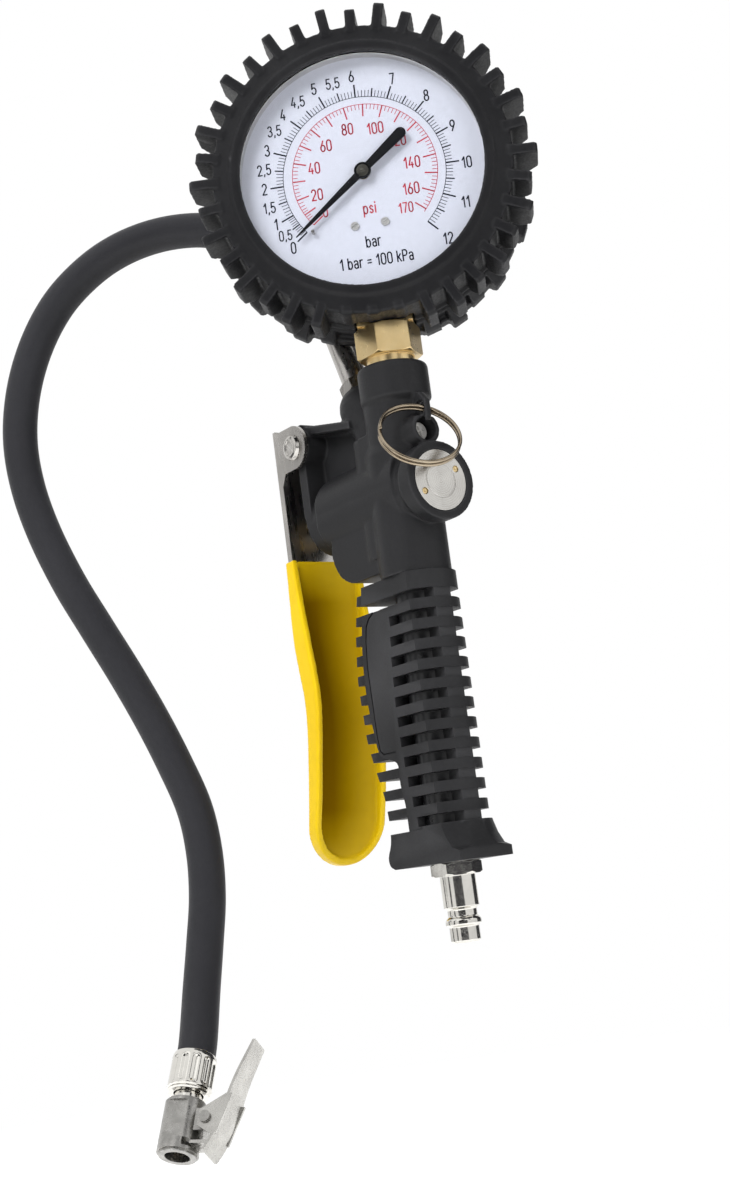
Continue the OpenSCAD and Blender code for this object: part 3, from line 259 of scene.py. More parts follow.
def turned(name, profile, place, material, around=96, cut=0.25, hexagon=None, flutes=None, **how):
    """A profile of (radius, height) turned about z: x = r cos a, y = r sin a. Between two heights a hexagon
    cuts the radius to half its width over the cosine from the nearest flat's middle, and flutes press
    grooves, whose depth is the square of half of one plus the cosine of so many times the angle. A profile
    that keeps off the axis is a closed ring."""
    ring = profile[0][0] > 0 and profile[-1][0] > 0
    line = held(rounded(profile, cut, closed=ring), ring)
    turn = math.radians(hexagon[3]) if hexagon else 0.0
    a = turn + 2 * np.pi * np.arange(around) / around
    r = np.repeat(line[:, :1], around, 1)
    if hexagon:
        low, high, width, _ = hexagon
        flat = width / 2 / np.cos((a - turn) % (np.pi / 3) - np.pi / 6)
        inside = (line[:, 1] >= low) & (line[:, 1] <= high)
        r = np.where(inside[:, None], np.minimum(r, flat[None, :]), r)
    if flutes:
        low, high, count, depth, outer = flutes
        fade = np.clip(np.minimum(line[:, 1] - low, high - line[:, 1]) / 1.2, 0, 1)
        fade = fade * fade * (3 - 2 * fade) * (line[:, 0] > outer)
        r = r - depth * fade[:, None] * (0.5 + 0.5 * np.cos(count * a))[None, :] ** 2
    points = np.stack([r * np.cos(a), r * np.sin(a), np.repeat(line[:, 1:], around, 1)], -1)
    return piece(name, world(points, place), grid_faces(len(line), around, ring), material, **how)


def stepped(profile, pitch):
    """A profile with extra points, so that no span is longer than the pitch."""
    p = np.array(profile, float)
    out = []
    for a, b in zip(p[:-1], p[1:]):
        n = max(1, int(np.ceil(np.linalg.norm(b - a) / pitch)))
        out.append(a + (b - a) * np.arange(n)[:, None] / n)
    return np.concatenate(out + [p[-1:]])


def smooth_line(points, steps):
    """A Catmull-Rom line: between two points a cubic whose slopes come from the neighbours on either side."""
    p = np.array(points, float)
    p = np.concatenate([2 * p[:1] - p[1:2], p, 2 * p[-1:] - p[-2:-1]])
    a, b, c, d = p[:-3, None], p[1:-2, None], p[2:-1, None], p[3:, None]
    t = (np.arange(steps) / steps)[None, :, None]
    bend, twist = 2 * a - 5 * b + 4 * c - d, 3 * b - a - 3 * c + d
    line = 0.5 * (2 * b + (c - a) * t + bend * t**2 + twist * t**3)
    return np.concatenate([line.reshape(-1, p.shape[1]), p[-2:-1]])


def along(path, first):
    """Directions of a path, and at each point a sideways direction: the one before it, set square to the
    path again."""
    d = np.gradient(path, axis=0)
    d = d / np.linalg.norm(d, axis=1)[:, None]
    sides, side = [], np.array(first, float)
    for direction in d:
        side = square_to(direction, side)
        sides.append(side)
    return d, np.array(sides)


def carried(name, path, radius, material, sides=24, first=(0, 1, 0), **how):
    """A round bar: at each point of a path in millimetres, a circle of the radius given there stands square
    to it, and both ends are closed."""
    d, u = along(path, first)
    v = np.cross(d, u)
    radius = np.broadcast_to(radius, len(path)).astype(float)
    path = np.concatenate([path[:1], path, path[-1:]])
    u, v = np.concatenate([u[:1], u, u[-1:]]), np.concatenate([v[:1], v, v[-1:]])
    radius = np.concatenate([[0], radius, [0]])
    a = (2 * np.pi * np.arange(sides) / sides)[None, :, None]
    points = path[:, None] + radius[:, None, None] * (np.cos(a) * u[:, None] + np.sin(a) * v[:, None])
    return piece(name, points.reshape(-1, 3) * MM, grid_faces(len(path), sides), material, **how)


def wound(centre, axis, start, radius, low, high, turns, rings=40, phase=0.0):
    """Points of a coil: a circle about an axis, so many degrees past the start direction, with so many rings
    in a turn, whose height climbs evenly."""
    k = np.linspace(0, 1, int(rings * turns) + 1)[:, None]
    a = np.radians(phase) + 2 * np.pi * turns * k
    axis, start = np.array(axis, float), np.array(start, float)
    circle = np.cos(a) * start + np.sin(a) * np.cross(axis, start)
    return np.array(centre) + radius * circle + (low + (high - low) * k) * axis


# ---- finished copies of CAD solids ----
def copied(node):
    """A closed copy of a CAD node's loose triangles."""
    mesh = reworked(frame["nodes"][node].data.copy(), merge=(2e-6, 1e-6))
    for layer in list(mesh.uv_layers):
        mesh.uv_layers.remove(layer)
    return mesh


def settled(made):
    """Applies an object's modifiers."""
    bpy.context.view_layer.update()
    mesh = bpy.data.meshes.new_from_object(made.evaluated_get(bpy.context.evaluated_depsgraph_get()))
    made.modifiers.clear()
    made.data = mesh
    return made


def moulded(node, name, material, voxel, smooth, body=ROOT, limit=170000):
    """A CAD solid skinned again in small even faces and smoothed, so that its edges and joints are rounded as
    moulded ones are."""
    made = listed(copied(node), name, material, body, (node,))
    skin = made.modifiers.new("skin", "REMESH")
    skin.mode, skin.voxel_size = "VOXEL", voxel * MM
    soft = made.modifiers.new("soft", "SMOOTH")
    soft.factor, soft.iterations = 0.5, smooth
    settled(made)
    faces = 2 * len(made.data.polygons)
    if faces > limit:
        thin = made.modifiers.new("thin", "DECIMATE")
        thin.ratio = limit / faces
        settled(made)
    made.data.polygons.foreach_set("use_smooth", np.ones(len(made.data.polygons), bool))
    return made


def softened(node, name, material, width, body=ROOT, segments=2, angle=30):
    """A CAD solid with a small round on each sharp edge."""
    made = listed(reworked(copied(node), flat=2), name, material, body, (node,))
    edge = made.modifiers.new("edge", "BEVEL")
    edge.width, edge.segments = width * MM, segments
    edge.limit_method, edge.angle_limit = "ANGLE", math.radians(angle)
    edge.use_clamp_overlap = True
    even = made.modifiers.new("even", "WEIGHTED_NORMAL")
    even.keep_sharp = True
    return settled(made)


# ---- finishes ----
def add(tree, kind, sockets=None, **settings):
    """A shader node with its settings, and with its sockets set or joined."""
    made = tree.nodes.new("ShaderNode" + kind)
    for key, value in settings.items():
        setattr(made, key, value)
    for key, value in (sockets or {}).items():
        if isinstance(value, bpy.types.NodeSocket):
            tree.links.new(value, made.inputs[key])
        else:
            made.inputs[key].default_value = value
    return made


def blank(name):
    """A material with an empty tree."""
    made = bpy.data.materials.new(name)
    made.use_nodes = True
    made.node_tree.nodes.clear()
    return made, made.node_tree


def where(tree, stretch=(1, 1, 1), centre=(0, 0, 0)):
    """Object coordinates in metres, stretched, with the centre at the origin."""
    middle = [-c * s for c, s in zip(centre, stretch)]
    at = add(tree, "TexCoord").outputs["Object"]
    return add(tree, "Mapping", {"Vector": at, "Location": middle, "Scale": stretch}).outputs["Vector"]


def noise(tree, at, scale, detail=4.0, roughness=0.55):
    """A soft cloud of values round a half."""
    sockets = {"Vector": at, "Scale": scale, "Detail": detail, "Roughness": roughness}
    return add(tree, "TexNoise", sockets).outputs[0]


def between(tree, value, low, high, start=0.3, end=0.7):
    """Carries a value from start..end to low..high."""
    sockets = {"Value": value, "From Min": start, "From Max": end, "To Min": low, "To Max": high}
    return add(tree, "MapRange", sockets).outputs[0]


def blended(tree, share, a, b):
    """One colour turned into another by a share from 0 to 1."""
    return add(tree, "Mix", {0: share, 6: a, 7: b}, data_type="RGBA").outputs[2]


def times(tree, a, b):
    """The product of two values."""
    return add(tree, "Math", {0: a, 1: b}, operation="MULTIPLY").outputs[0]


def plus(tree, a, b):
    """The sum of two values."""
    return add(tree, "Math", {0: a, 1: b}, operation="ADD").outputs[0]


def tint(colour, share):
    """A colour times one share, or times a share for each of its three parts."""
    return np.multiply(colour, share).tolist()


def rgba(colour, share=1.0):
    """A colour with full cover."""
    return (*tint(colour, share), 1.0)


def shown(tree, shader, kind="OutputMaterial"):
    """Sends a shader to the tree's output."""
    tree.links.new(shader.outputs[0], add(tree, kind).inputs[0])


# channels of the sleeve's colour where painted shade darkens its channel, as shares of its own
PAINTED_SHADE_TINT = (0.2, 0.14, 0.05)


def finish(name, colour, second, rough, patch, grain, depth, strength, metallic=0.0, coat=0.0, specular=0.5,
           stretch=(1, 1, 1), rings=None, edge=None, marks=0.0, lumps=0.0, along_hose=False, painted_shade=0.0,
           brushed=0.0):
    """Two colours mixed by wide soft patches, roughness from a fine grain, and bump from the grain, whose
    depth is in millimetres.
    rings = (centre, lines in a metre, depth) adds tool marks round a centre, edge lightens ridges, as wear
    and as a painted highlight, marks adds fine rubbed lines, lumps adds the slow waves of a dipped coat,
    along_hose the ripple of a wrapped skin, the painted shade argument darkens by the attribute of its own
    name, as painted shade with less gloss, and brushed draws the highlight out across the rings."""
    material, t = blank(name)
    plain, drawn = where(t), where(t, stretch)
    patches = noise(t, plain, patch, 5)
    fine = noise(t, drawn, grain, 3, 0.6)
    shade = blended(t, between(t, patches, 0, 1), rgba(colour), rgba(second))
    speck = noise(t, drawn, grain * 0.37, 2)
    shade = blended(t, between(t, speck, 0, 0.35), shade, rgba(colour, 0.82))
    # ridges lighten: partly wear, partly a painted highlight where edges catch the light
    if edge:
        ridge = add(t, "NewGeometry").outputs["Pointiness"]
        worn_and_lit = times(t, between(t, ridge, 0, 1, 0.51, 0.6), between(t, patches, 0.2, 1.0))
        shade = blended(t, worn_and_lit, shade, rgba(edge))
    gloss = between(t, plus(t, times(t, fine, 0.6), times(t, patches, 0.4)), rough[0], rough[1], 0.35, 0.65)
    height = times(t, fine, depth * MM)
    if marks:
        line = noise(t, where(t, (stretch[0] * 9, stretch[1] * 1.5, stretch[2] * 9)), 260, 2, 0.4)
        rubbed = between(t, line, 0, 1, 0.62, 0.7)
        height = plus(t, height, times(t, rubbed, -marks * MM))
        shade = blended(t, times(t, rubbed, 0.4), shade, rgba(second, 1.15))
    if lumps:
        height = plus(t, height, times(t, noise(t, plain, 75, 2), lumps * MM))
    if rings:
        centre, lines, cut = rings
        wave = add(t, "TexWave", {"Vector": where(t, (1, 1, 1), centre), "Scale": lines, "Distortion": 0.4,
                                  "Detail": 2.0, "Detail Scale": 2.0},
                   wave_type="RINGS", rings_direction="SPHERICAL")
        height = plus(t, height, times(t, wave.outputs[1], cut * MM))
        shade = blended(t, times(t, wave.outputs[1], 0.35), shade, rgba(second, 0.8))
    if along_hose:
        uv = add(t, "UVMap", uv_map="length").outputs[0]
        skin = add(t, "TexWave", {"Vector": uv, "Scale": 95.0, "Distortion": 3.0, "Detail": 3.0,
                                  "Detail Scale": 1.4}, wave_type="BANDS", bands_direction="X")
        height = plus(t, height, times(t, skin.outputs[1], 0.03 * MM))
        lines = noise(t, add(t, "Mapping", {"Vector": uv, "Scale": (3, 90, 1)}).outputs[0], 6, 2)
        shade = blended(t, between(t, lines, 0, 0.5), shade, rgba(second, 1.3))
    # painted shade: a darker colour and less specular and coat where the attribute is high
    if painted_shade:
        inside = add(t, "Attribute", attribute_name="painted_shade").outputs["Fac"]
        shade = blended(t, times(t, inside, painted_shade), shade, rgba(tint(colour, PAINTED_SHADE_TINT)))
        specular, coat = [between(t, inside, gleam, 0, 0, 0.8) for gleam in (specular, coat)]
    bump = add(t, "Bump", {"Height": height, "Strength": strength, "Distance": 1.0})
    sockets = {
        "Base Color": shade, "Roughness": gloss, "Metallic": metallic, "Coat Weight": coat,
        "Coat Roughness": 0.12, "Specular IOR Level": specular, "Normal": bump.outputs[0],
    }
    if brushed:
        outwards = where(t, (1, 1, 1), rings[0])
        round_way = add(t, "VectorMath", {0: (1, 0, 0), 1: outwards}, operation="CROSS_PRODUCT")
        sockets["Anisotropic"], sockets["Tangent"] = brushed, round_way.outputs["Vector"]
    shown(t, add(t, "BsdfPrincipled", sockets))
    return material


GLASS_INDEX = 1.45  # bending power of window glass


def window_glass(name):
    """Clear glass as a thin pane: what is behind it shows through, with a mirror's share by Fresnel and faint
    smears. The light isn't bent, so the far face is given the turned-round index and mirrors no more than the
    near one."""
    material, t = blank(name)
    smear = between(t, noise(t, where(t), 60, 4), 0.01, 0.06)
    clear = add(t, "BsdfTransparent", {"Color": (0.93, 0.935, 0.94, 1)})
    mirror = add(t, "BsdfGlossy", {"Color": (1, 1, 1, 1), "Roughness": smear})
    leaving = add(t, "NewGeometry").outputs["Backfacing"]
    share = add(t, "Fresnel", {"IOR": between(t, leaving, GLASS_INDEX, 1 / GLASS_INDEX)})
    shown(t, add(t, "MixShader", {0: share.outputs[0], 1: clear.outputs[0], 2: mirror.outputs[0]}))
    return material


FINISHES = {}


def make_finishes(colours):
    """Every finish of the inflator, from the colours that a user may change."""
    cap_middle = (CAP_FACE * MM, 0, VALVE_Z * MM)
    hub_middle = tuple(world([(0, 0, 16)], GAUGE)[0])
    make_soft_finishes(tuple(colours.moulding), tuple(colours.sleeve))
    make_metals(tuple(colours.brass), tuple(colours.nickel), cap_middle, hub_middle)
    make_dial_finishes(tuple(colours.dial))


def make_soft_finishes(black, yellow):
    """Mouldings, rubber, vinyl and paint."""
    f = FINISHES
    # the edge colours of the mouldings and the boot lighten their ridges, as wear and as painted highlight
    f["moulding"] = finish(
        "moulded_nylon", tint(black, 0.85), tint(black, 1.15), (0.38, 0.58), 30, 2300, 0.018, 0.6,
        specular=0.19, edge=(0.05, 0.05, 0.053), marks=0.01)
    f["grip"] = finish(
        "grip_nylon", tint(black, 0.62), black, (0.4, 0.6), 30, 2300, 0.018, 0.6,
        specular=0.18, edge=(0.035, 0.035, 0.037), marks=0.01)
    f["boot"] = finish(
        "boot_rubber", (0.006, 0.006, 0.007), (0.011, 0.011, 0.012), (0.34, 0.6), 45, 1300, 0.03, 0.6,
        specular=0.19, edge=(0.045, 0.045, 0.048), lumps=0.06)
    f["hose"] = finish(
        "hose_rubber", (0.011, 0.011, 0.013), (0.018, 0.018, 0.021), (0.42, 0.58), 25, 1800, 0.012, 0.5,
        specular=0.25, along_hose=True)
    f["tube"] = finish(
        "gloss_tube", (0.008, 0.008, 0.009), (0.013, 0.013, 0.014), (0.26, 0.36), 60, 700, 0.004, 0.4,
        specular=0.35, coat=0.1)
    # the sleeve's channel is darkened by painted shade, away from its rim and towards its near wall
    f["sleeve"] = finish(
        "yellow_vinyl", yellow, tint(yellow, (0.92, 0.86, 1)), (0.3, 0.42), 22, 700, 0.006, 0.5,
        specular=0.15, coat=0.06, lumps=0.05, painted_shade=0.95)
    f["case"] = finish(
        "case_paint", (0.016, 0.016, 0.017), (0.026, 0.026, 0.028), (0.3, 0.5), 50, 900, 0.01, 0.5,
        specular=0.25)
    f["seal"] = finish(
        "seal_rubber", (0.02, 0.02, 0.02), (0.035, 0.035, 0.035), (0.55, 0.75), 90, 1500, 0.01, 0.5,
        specular=0.25)


def make_metals(brass, nickel, cap_middle, hub_middle):
    """Plated, turned and pressed metals."""
    f = FINISHES
    f["nickel"] = finish(
        "bright_nickel", nickel, tint(nickel, 0.78), (0.08, 0.18), 70, 1100, 0.004, 0.5,
        metallic=1.0, marks=0.004)
    f["zinc"] = finish(
        "zinc_steel", (0.52, 0.5, 0.475), (0.37, 0.355, 0.333), (0.2, 0.36), 55, 420, 0.008, 0.6,
        metallic=1.0, stretch=(1, 1, 0.12), marks=0.006)
    f["satin"] = finish(
        "satin_nickel", (0.46, 0.45, 0.43), (0.27, 0.264, 0.25), (0.2, 0.42), 260, 1500, 0.012, 0.6,
        metallic=1.0, marks=0.004)
    # the rivet's edge colour lightens its ridges, as wear and as painted highlight
    f["rivet"] = finish(
        "rivet_steel", (0.62, 0.6, 0.57), (0.45, 0.43, 0.4), (0.12, 0.26), 120, 900, 0.004, 0.5,
        metallic=1.0, edge=(0.75, 0.73, 0.7), marks=0.004)
    f["screw"] = finish(
        "screw_steel", (0.74, 0.73, 0.71), (0.5, 0.49, 0.47), (0.34, 0.5), 400, 1500, 0.004, 0.5,
        metallic=0.6)
    f["clip"] = finish(
        "pressed_steel", (0.56, 0.55, 0.52), (0.4, 0.39, 0.37), (0.2, 0.34), 160, 1300, 0.004, 0.5,
        metallic=1.0, marks=0.004)
    f["brass"] = finish(
        "machined_brass", brass, tint(brass, (0.86, 0.8, 0.7)), (0.26, 0.34), 90, 900, 0.002, 0.3,
        metallic=1.0)
    f["cap"] = finish(
        "turned_cap", (0.7, 0.685, 0.65), (0.56, 0.54, 0.51), (0.22, 0.28), 60, 500, 0.0004, 0.4,
        metallic=1.0, rings=(cap_middle, 420.0, 0.005), brushed=0.85)
    f["hub"] = finish(
        "turned_hub", (0.3, 0.29, 0.25), (0.2, 0.19, 0.165), (0.25, 0.4), 200, 1500, 0.004, 0.5,
        metallic=1.0, rings=(hub_middle, 700.0, 0.01))
    f["ring"] = finish(
        "ring_wire", (0.44, 0.37, 0.275), (0.3, 0.24, 0.17), (0.16, 0.28), 120, 1500, 0.004, 0.5,
        metallic=1.0)
    f["bronze"] = finish(
        "spring_bronze", (0.66, 0.46, 0.25), (0.5, 0.33, 0.16), (0.25, 0.4), 90, 1200, 0.003, 0.4,
        metallic=1.0)


def make_dial_finishes(white):
    """Enamel, inks, the pointer's paint and the glass."""
    f = FINISHES
    f["dial"] = finish("dial_enamel", white, tint(white, 0.95), (0.35, 0.45), 14, 1500, 0.002, 0.3)
    f["black_ink"] = finish(
        "black_ink", (0.008, 0.01, 0.022), (0.014, 0.017, 0.03), (0.45, 0.6), 300, 3000, 0.002, 0.3,
        specular=0.15)
    f["red_ink"] = finish(
        "red_ink", (0.5, 0.035, 0.06), (0.56, 0.06, 0.085), (0.45, 0.6), 300, 3000, 0.002, 0.3,
        specular=0.15)
    f["needle"] = finish(
        "needle_paint", (0.006, 0.006, 0.007), (0.01, 0.01, 0.011), (0.35, 0.5), 100, 2000, 0.003, 0.4,
        specular=0.15)
    f["glass"] = window_glass("gauge_glass_clear")


# ---- sizes and colours that a user may change ----
class InflatorColours(bpy.types.PropertyGroup):
    """Colours of the inflator's finishes."""

    moulding: bpy.props.FloatVectorProperty(
        name="Moulding", description="Colour of the grip and valve body",
        subtype="COLOR", default=(0.014, 0.014, 0.015))
    sleeve: bpy.props.FloatVectorProperty(
        name="Sleeve", description="Colour of the trigger's dipped sleeve",
        subtype="COLOR", default=(0.64, 0.44, 0.004))
    dial: bpy.props.FloatVectorProperty(
        name="Dial", description="Colour of the dial's enamel",
        subtype="COLOR", default=(0.66, 0.675, 0.76))
    brass: bpy.props.FloatVectorProperty(
        name="Brass", description="Colour of the neck's brass",
        subtype="COLOR", default=(0.84, 0.66, 0.36))
    nickel: bpy.props.FloatVectorProperty(
        name="Nickel", description="Colour of the plated plug and ferrules",
        subtype="COLOR", default=(0.8, 0.78, 0.73))


class InflatorSizes(bpy.types.PropertyGroup):
    """Sizes of the detail that the visible pieces add."""

    numeral: bpy.props.FloatProperty(
        name="Numeral height", description="Height of the dial's numerals",
        default=3.9 * MM, unit="LENGTH", precision=5)
    tick: bpy.props.FloatProperty(
        name="Tick width", description="Width of a long tick on the dial",
        default=0.55 * MM, unit="LENGTH", precision=5)
    crimps: bpy.props.IntProperty(
        name="Crimps", description="Number of crimps round a hose ferrule",
        default=12, min=6, max=24)
    ring_pitch: bpy.props.FloatProperty(
        name="Ring pitch", description="Distance between the split ring's two turns",
        default=1.5 * MM, unit="LENGTH", precision=5)


# ---- the stage ----
CAMERA_AT = (0.48267, -0.36925, -0.00545)
# the camera's right, up and back directions
CAMERA_AXES = ((0.5607, 0.8182, -0.1281), (0.2087, 0.0101, 0.9779), (0.8014, -0.5751, -0.1651))
MIDDLE = Vector((-0.02, -0.02, 0.1))  # what the lamps and screens are aimed at
FLOOR_DROP = 0.03  # from the object's lowest point down to the floor
# screens by name: degrees right of the camera and above it, and half of what each spans both ways
DARK_SCREENS = (
    ("dark_wall", -17, 22, 17, 34), ("dark_low", 6, -4, 18, 16), ("dark_strip", 41, 38, 7, 22),
    ("dark_edge", -62, 18, 6, 34), ("dark_left", -95, 0, 8, 12), ("dark_side", 118, 20, 24, 34),
)


def lamp(name, right, up, back, size, power):
    """A square area lamp, placed from the object's middle along the camera's axes and aimed at it."""
    axes = [Vector(a) for a in CAMERA_AXES]
    at = MIDDLE + axes[0] * right + axes[1] * up + axes[2] * back
    light = bpy.data.lights.new(name, "AREA")
    light.shape, light.size, light.energy = "SQUARE", size, power
    made = bpy.data.objects.new(name, light)
    made.location = at
    made.rotation_euler = (at - MIDDLE).to_track_quat("Z", "Y").to_euler()
    made.visible_glossy = False
    bpy.context.scene.collection.objects.link(made)


def card(name, points, material, seen=True):
    """A flat sheet of the studio, seen by all rays or by mirrors alone."""
    mesh = bpy.data.meshes.new(name)
    mesh.from_pydata([list(p) for p in points], [], [(0, 1, 2, 3)])
    mesh.materials.append(material)
    made = bpy.data.objects.new(name, mesh)
    bpy.context.scene.collection.objects.link(made)
    made.visible_camera = seen
    made.visible_diffuse = seen
    made.visible_shadow = seen
    return made


class INFLATOR_OT_stage(bpy.types.Operator):
    """Camera, lamps, white surroundings and a pale floor that keeps the shadow"""

    bl_idname = "inflator.stage"
    bl_label = "Stage"

    def execute(self, context):
        scene = context.scene
        scene.view_settings.view_transform = "Standard"
        camera = bpy.data.cameras.new("camera")
        camera.lens, camera.sensor_width, camera.sensor_height = 54, 36, 36
        camera.sensor_fit = "VERTICAL"
        camera.clip_start, camera.clip_end = 0.01, 50
        made = bpy.data.objects.new("camera", camera)
        turn = Matrix([[CAMERA_AXES[j][i] for j in range(3)] for i in range(3)]).to_4x4()
        made.matrix_world = Matrix.Translation(CAMERA_AT) @ turn
        scene.collection.objects.link(made)
        scene.camera = made
        self.surroundings(scene)
        self.floor()
        self.mirrored_studio()
        lamp("key_lamp", -0.6, 0.7, 0.6, 0.55, 13.0)
        lamp("fill_lamp", 0.7, 0.0, 0.8, 0.6, 5.0)
        lamp("top_lamp", 0.1, 0.95, -0.35, 0.5, 7.0)
        return {"FINISHED"}

    def surroundings(self, scene):
        """White to the camera, to mirrors and through glass, and a plain grey level of light for the rest."""
        sky = bpy.data.worlds.new("surroundings")
        sky.use_nodes = True
        t = sky.node_tree
        t.nodes.clear()
        path = add(t, "LightPath")
        seen = plus(t, plus(t, path.outputs["Is Camera Ray"], path.outputs["Is Glossy Ray"]),
                    path.outputs["Is Transmission Ray"])
        lit = add(t, "Background", {"Color": (1, 1, 1, 1), "Strength": 0.75})
        white = add(t, "Background", {"Color": (1, 1, 1, 1), "Strength": 1.0})
        shown(t, add(t, "MixShader", {0: seen, 1: lit.outputs[0], 2: white.outputs[0]}), "OutputWorld")
        scene.world = sky

    def floor(self):
        """A pale floor that keeps the shadow and fades to plain white away from the object."""
        material, t = blank("floor_white")
        reach = add(t, "VectorMath", {0: where(t)}, operation="LENGTH").outputs["Value"]
        far = between(t, reach, 0, 1, 0.25, 0.6)
        seen = times(t, far, add(t, "LightPath").outputs["Is Camera Ray"])
        paper = add(t, "BsdfDiffuse", {"Color": (0.88, 0.88, 0.88, 1)})
        glow = add(t, "Emission", {"Color": (1, 1, 1, 1), "Strength": 1.0})
        shown(t, add(t, "MixShader", {0: seen, 1: paper.outputs[0], 2: glow.outputs[0]}))
        z = CAD_BOX[0][2] - FLOOR_DROP
        card("floor", [(x, y, z) for x, y in ((-6, -6), (6, -6), (6, 6), (-6, 6))], material)

    def mirrored_studio(self):
        """A soft box and dark screens that only mirrors see, so that bright metal shows bands."""
        bright, t = blank("studio_bright")
        shown(t, add(t, "Emission", {"Color": (1, 1, 1, 1), "Strength": 1.35}))
        card("soft_box", facing(-45, 38, 16, 16, far=1.1), bright, seen=False)
        dark, t = blank("studio_dark")
        shown(t, add(t, "BsdfDiffuse", {"Color": (0.03, 0.03, 0.033, 1)}))
        for name, turn, rise, half_turn, half_rise in DARK_SCREENS:
            card(name, facing(turn, rise, half_turn, half_rise), dark, seen=False)


def facing(turn, rise, half_turn, half_rise, far=1.2):
    """Corners of a sheet that faces the object, so many degrees to the right of the camera and above it."""
    right, up, back = [Vector(a) for a in CAMERA_AXES]
    t, r = math.radians(turn), math.radians(rise)
    way = (right * math.sin(t) + back * math.cos(t)) * math.cos(r) + up * math.sin(r)
    side = right * math.cos(t) - back * math.sin(t)
    high = way.cross(side)
    wide, tall = far * math.tan(math.radians(half_turn)), far * math.tan(math.radians(half_rise))
    corners = ((-1, -1), (1, -1), (1, 1), (-1, 1))
    return [MIDDLE + way * far + side * (i * wide) + high * (j * tall) for i, j in corners]


# ---- hose, ferrules and fitting ----
MAP_PER_METRE = 20  # what a metre of hose measures on its map


def ferrule(name, place, node, crimps):
    """A pressed ferrule: a cup turned from its profile, mouth at z = 0 and foot below it, with a groove round
    its foot and round crimps pressed into its side."""
    r, bore, hole, foot = FERRULE_D / 2, HOSE_D / 2 + 0.05, 5.0, -FERRULE_L
    side = stepped([(r, -1.4), (r, foot + 1.6)], 0.6).tolist()
    mouth = [(bore, 0.0), (r - 0.35, 0.0), (r - 0.1, -0.9)]
    groove = [(r - 0.55, foot + 1.1), (r - 0.2, foot + 0.6), (r - 0.7, foot)]
    floor = [(hole, foot), (hole, foot + 1.0), (bore, foot + 1.0)]
    profile = mouth + side + groove + floor
    return turned(name, profile, place, FINISHES["nickel"], around=crimps * 16, cut=0.15,
                  flutes=(foot + 1.9, -1.7, crimps, 0.55, bore + 0.3), slot="plated_steel",
                  stands_for=(node,))


class INFLATOR_OT_hose(bpy.types.Operator):
    """Hose, its two pressed ferrules and the fitting that it leaves"""

    bl_idname = "inflator.hose"
    bl_label = "Hose"

    def execute(self, context):
        leaving = [PORT_FACE + (FITTING_L + run) * PORT_DIR for run in (1, 8)]
        arriving = [HOSE_END + run * CHUCK_DIR for run in (-5, 4)]
        path = smooth_line([*leaving, *np.array(HOSE_ROUTE), *arriving], 8)
        path = np.concatenate([path, [HOSE_END + (FERRULE_L - 1) * CHUCK_DIR]])
        hose = carried("hose_skin", path, HOSE_D / 2, FINISHES["hose"], sides=48, slot="hose_rubber",
                       stands_for=("hose",))
        self.measure_out(hose.data, path * MM)
        crimps = context.scene.inflator_sizes.crimps
        ferrule("upper_ferrule_crimped", leaned(FERRULE_MOUTH, PORT_LEAN), "upper_ferrule", crimps)
        upwards = CHUCK.copy()
        upwards[:3, 1:3] = -upwards[:3, 1:3]
        lower = ferrule("chuck_ferrule_crimped", upwards, "chuck_ferrule", crimps)
        softened("hose_fitting", "hose_fitting_plated", FINISHES["zinc"], 0.25)
        return {"FINISHED"}

    def measure_out(self, mesh, path):
        """A map whose first number is the distance along the hose and whose second is the turn round it. A
        face that crosses the end of a turn has its small turns raised by one, so that none is torn."""
        co = triples(mesh.vertices, "co")
        run = np.concatenate([[0], np.cumsum(np.linalg.norm(np.diff(path, axis=0), axis=1))])
        nearest = ((co[:, None, :] - path[None, :, :]) ** 2).sum(2).argmin(1)
        d, u = along(path, (0, 1, 0))
        v = np.cross(d, u)
        off = co - path[nearest]
        turn = np.arctan2((off * v[nearest]).sum(1), (off * u[nearest]).sum(1)) / (2 * np.pi)
        corner = numbers(mesh.loops, "vertex_index")
        uv = np.stack([run[nearest][corner] * MAP_PER_METRE, turn[corner]], 1)
        corners = numbers(mesh.polygons, "loop_total")
        face = np.repeat(np.arange(len(corners)), corners)
        high = np.full(len(corners), -9.0)
        np.maximum.at(high, face, uv[:, 1])
        uv[:, 1] += uv[:, 1] < high[face] - 0.5
        layer = mesh.uv_layers.new(name="length")
        layer.data.foreach_set("uv", uv.astype(np.float32).ravel())


# ---- gauge ----
class INFLATOR_OT_boot(bpy.types.Operator):
    """Rubber boot with its rows of blocks"""

    bl_idname = "inflator.boot"
    bl_label = "Rubber boot"

    def execute(self, context):
        moulded("rubber_boot", "rubber_boot_blocks", FINISHES["boot"], 0.5, 1,
                limit=190000)
        return {"FINISHED"}


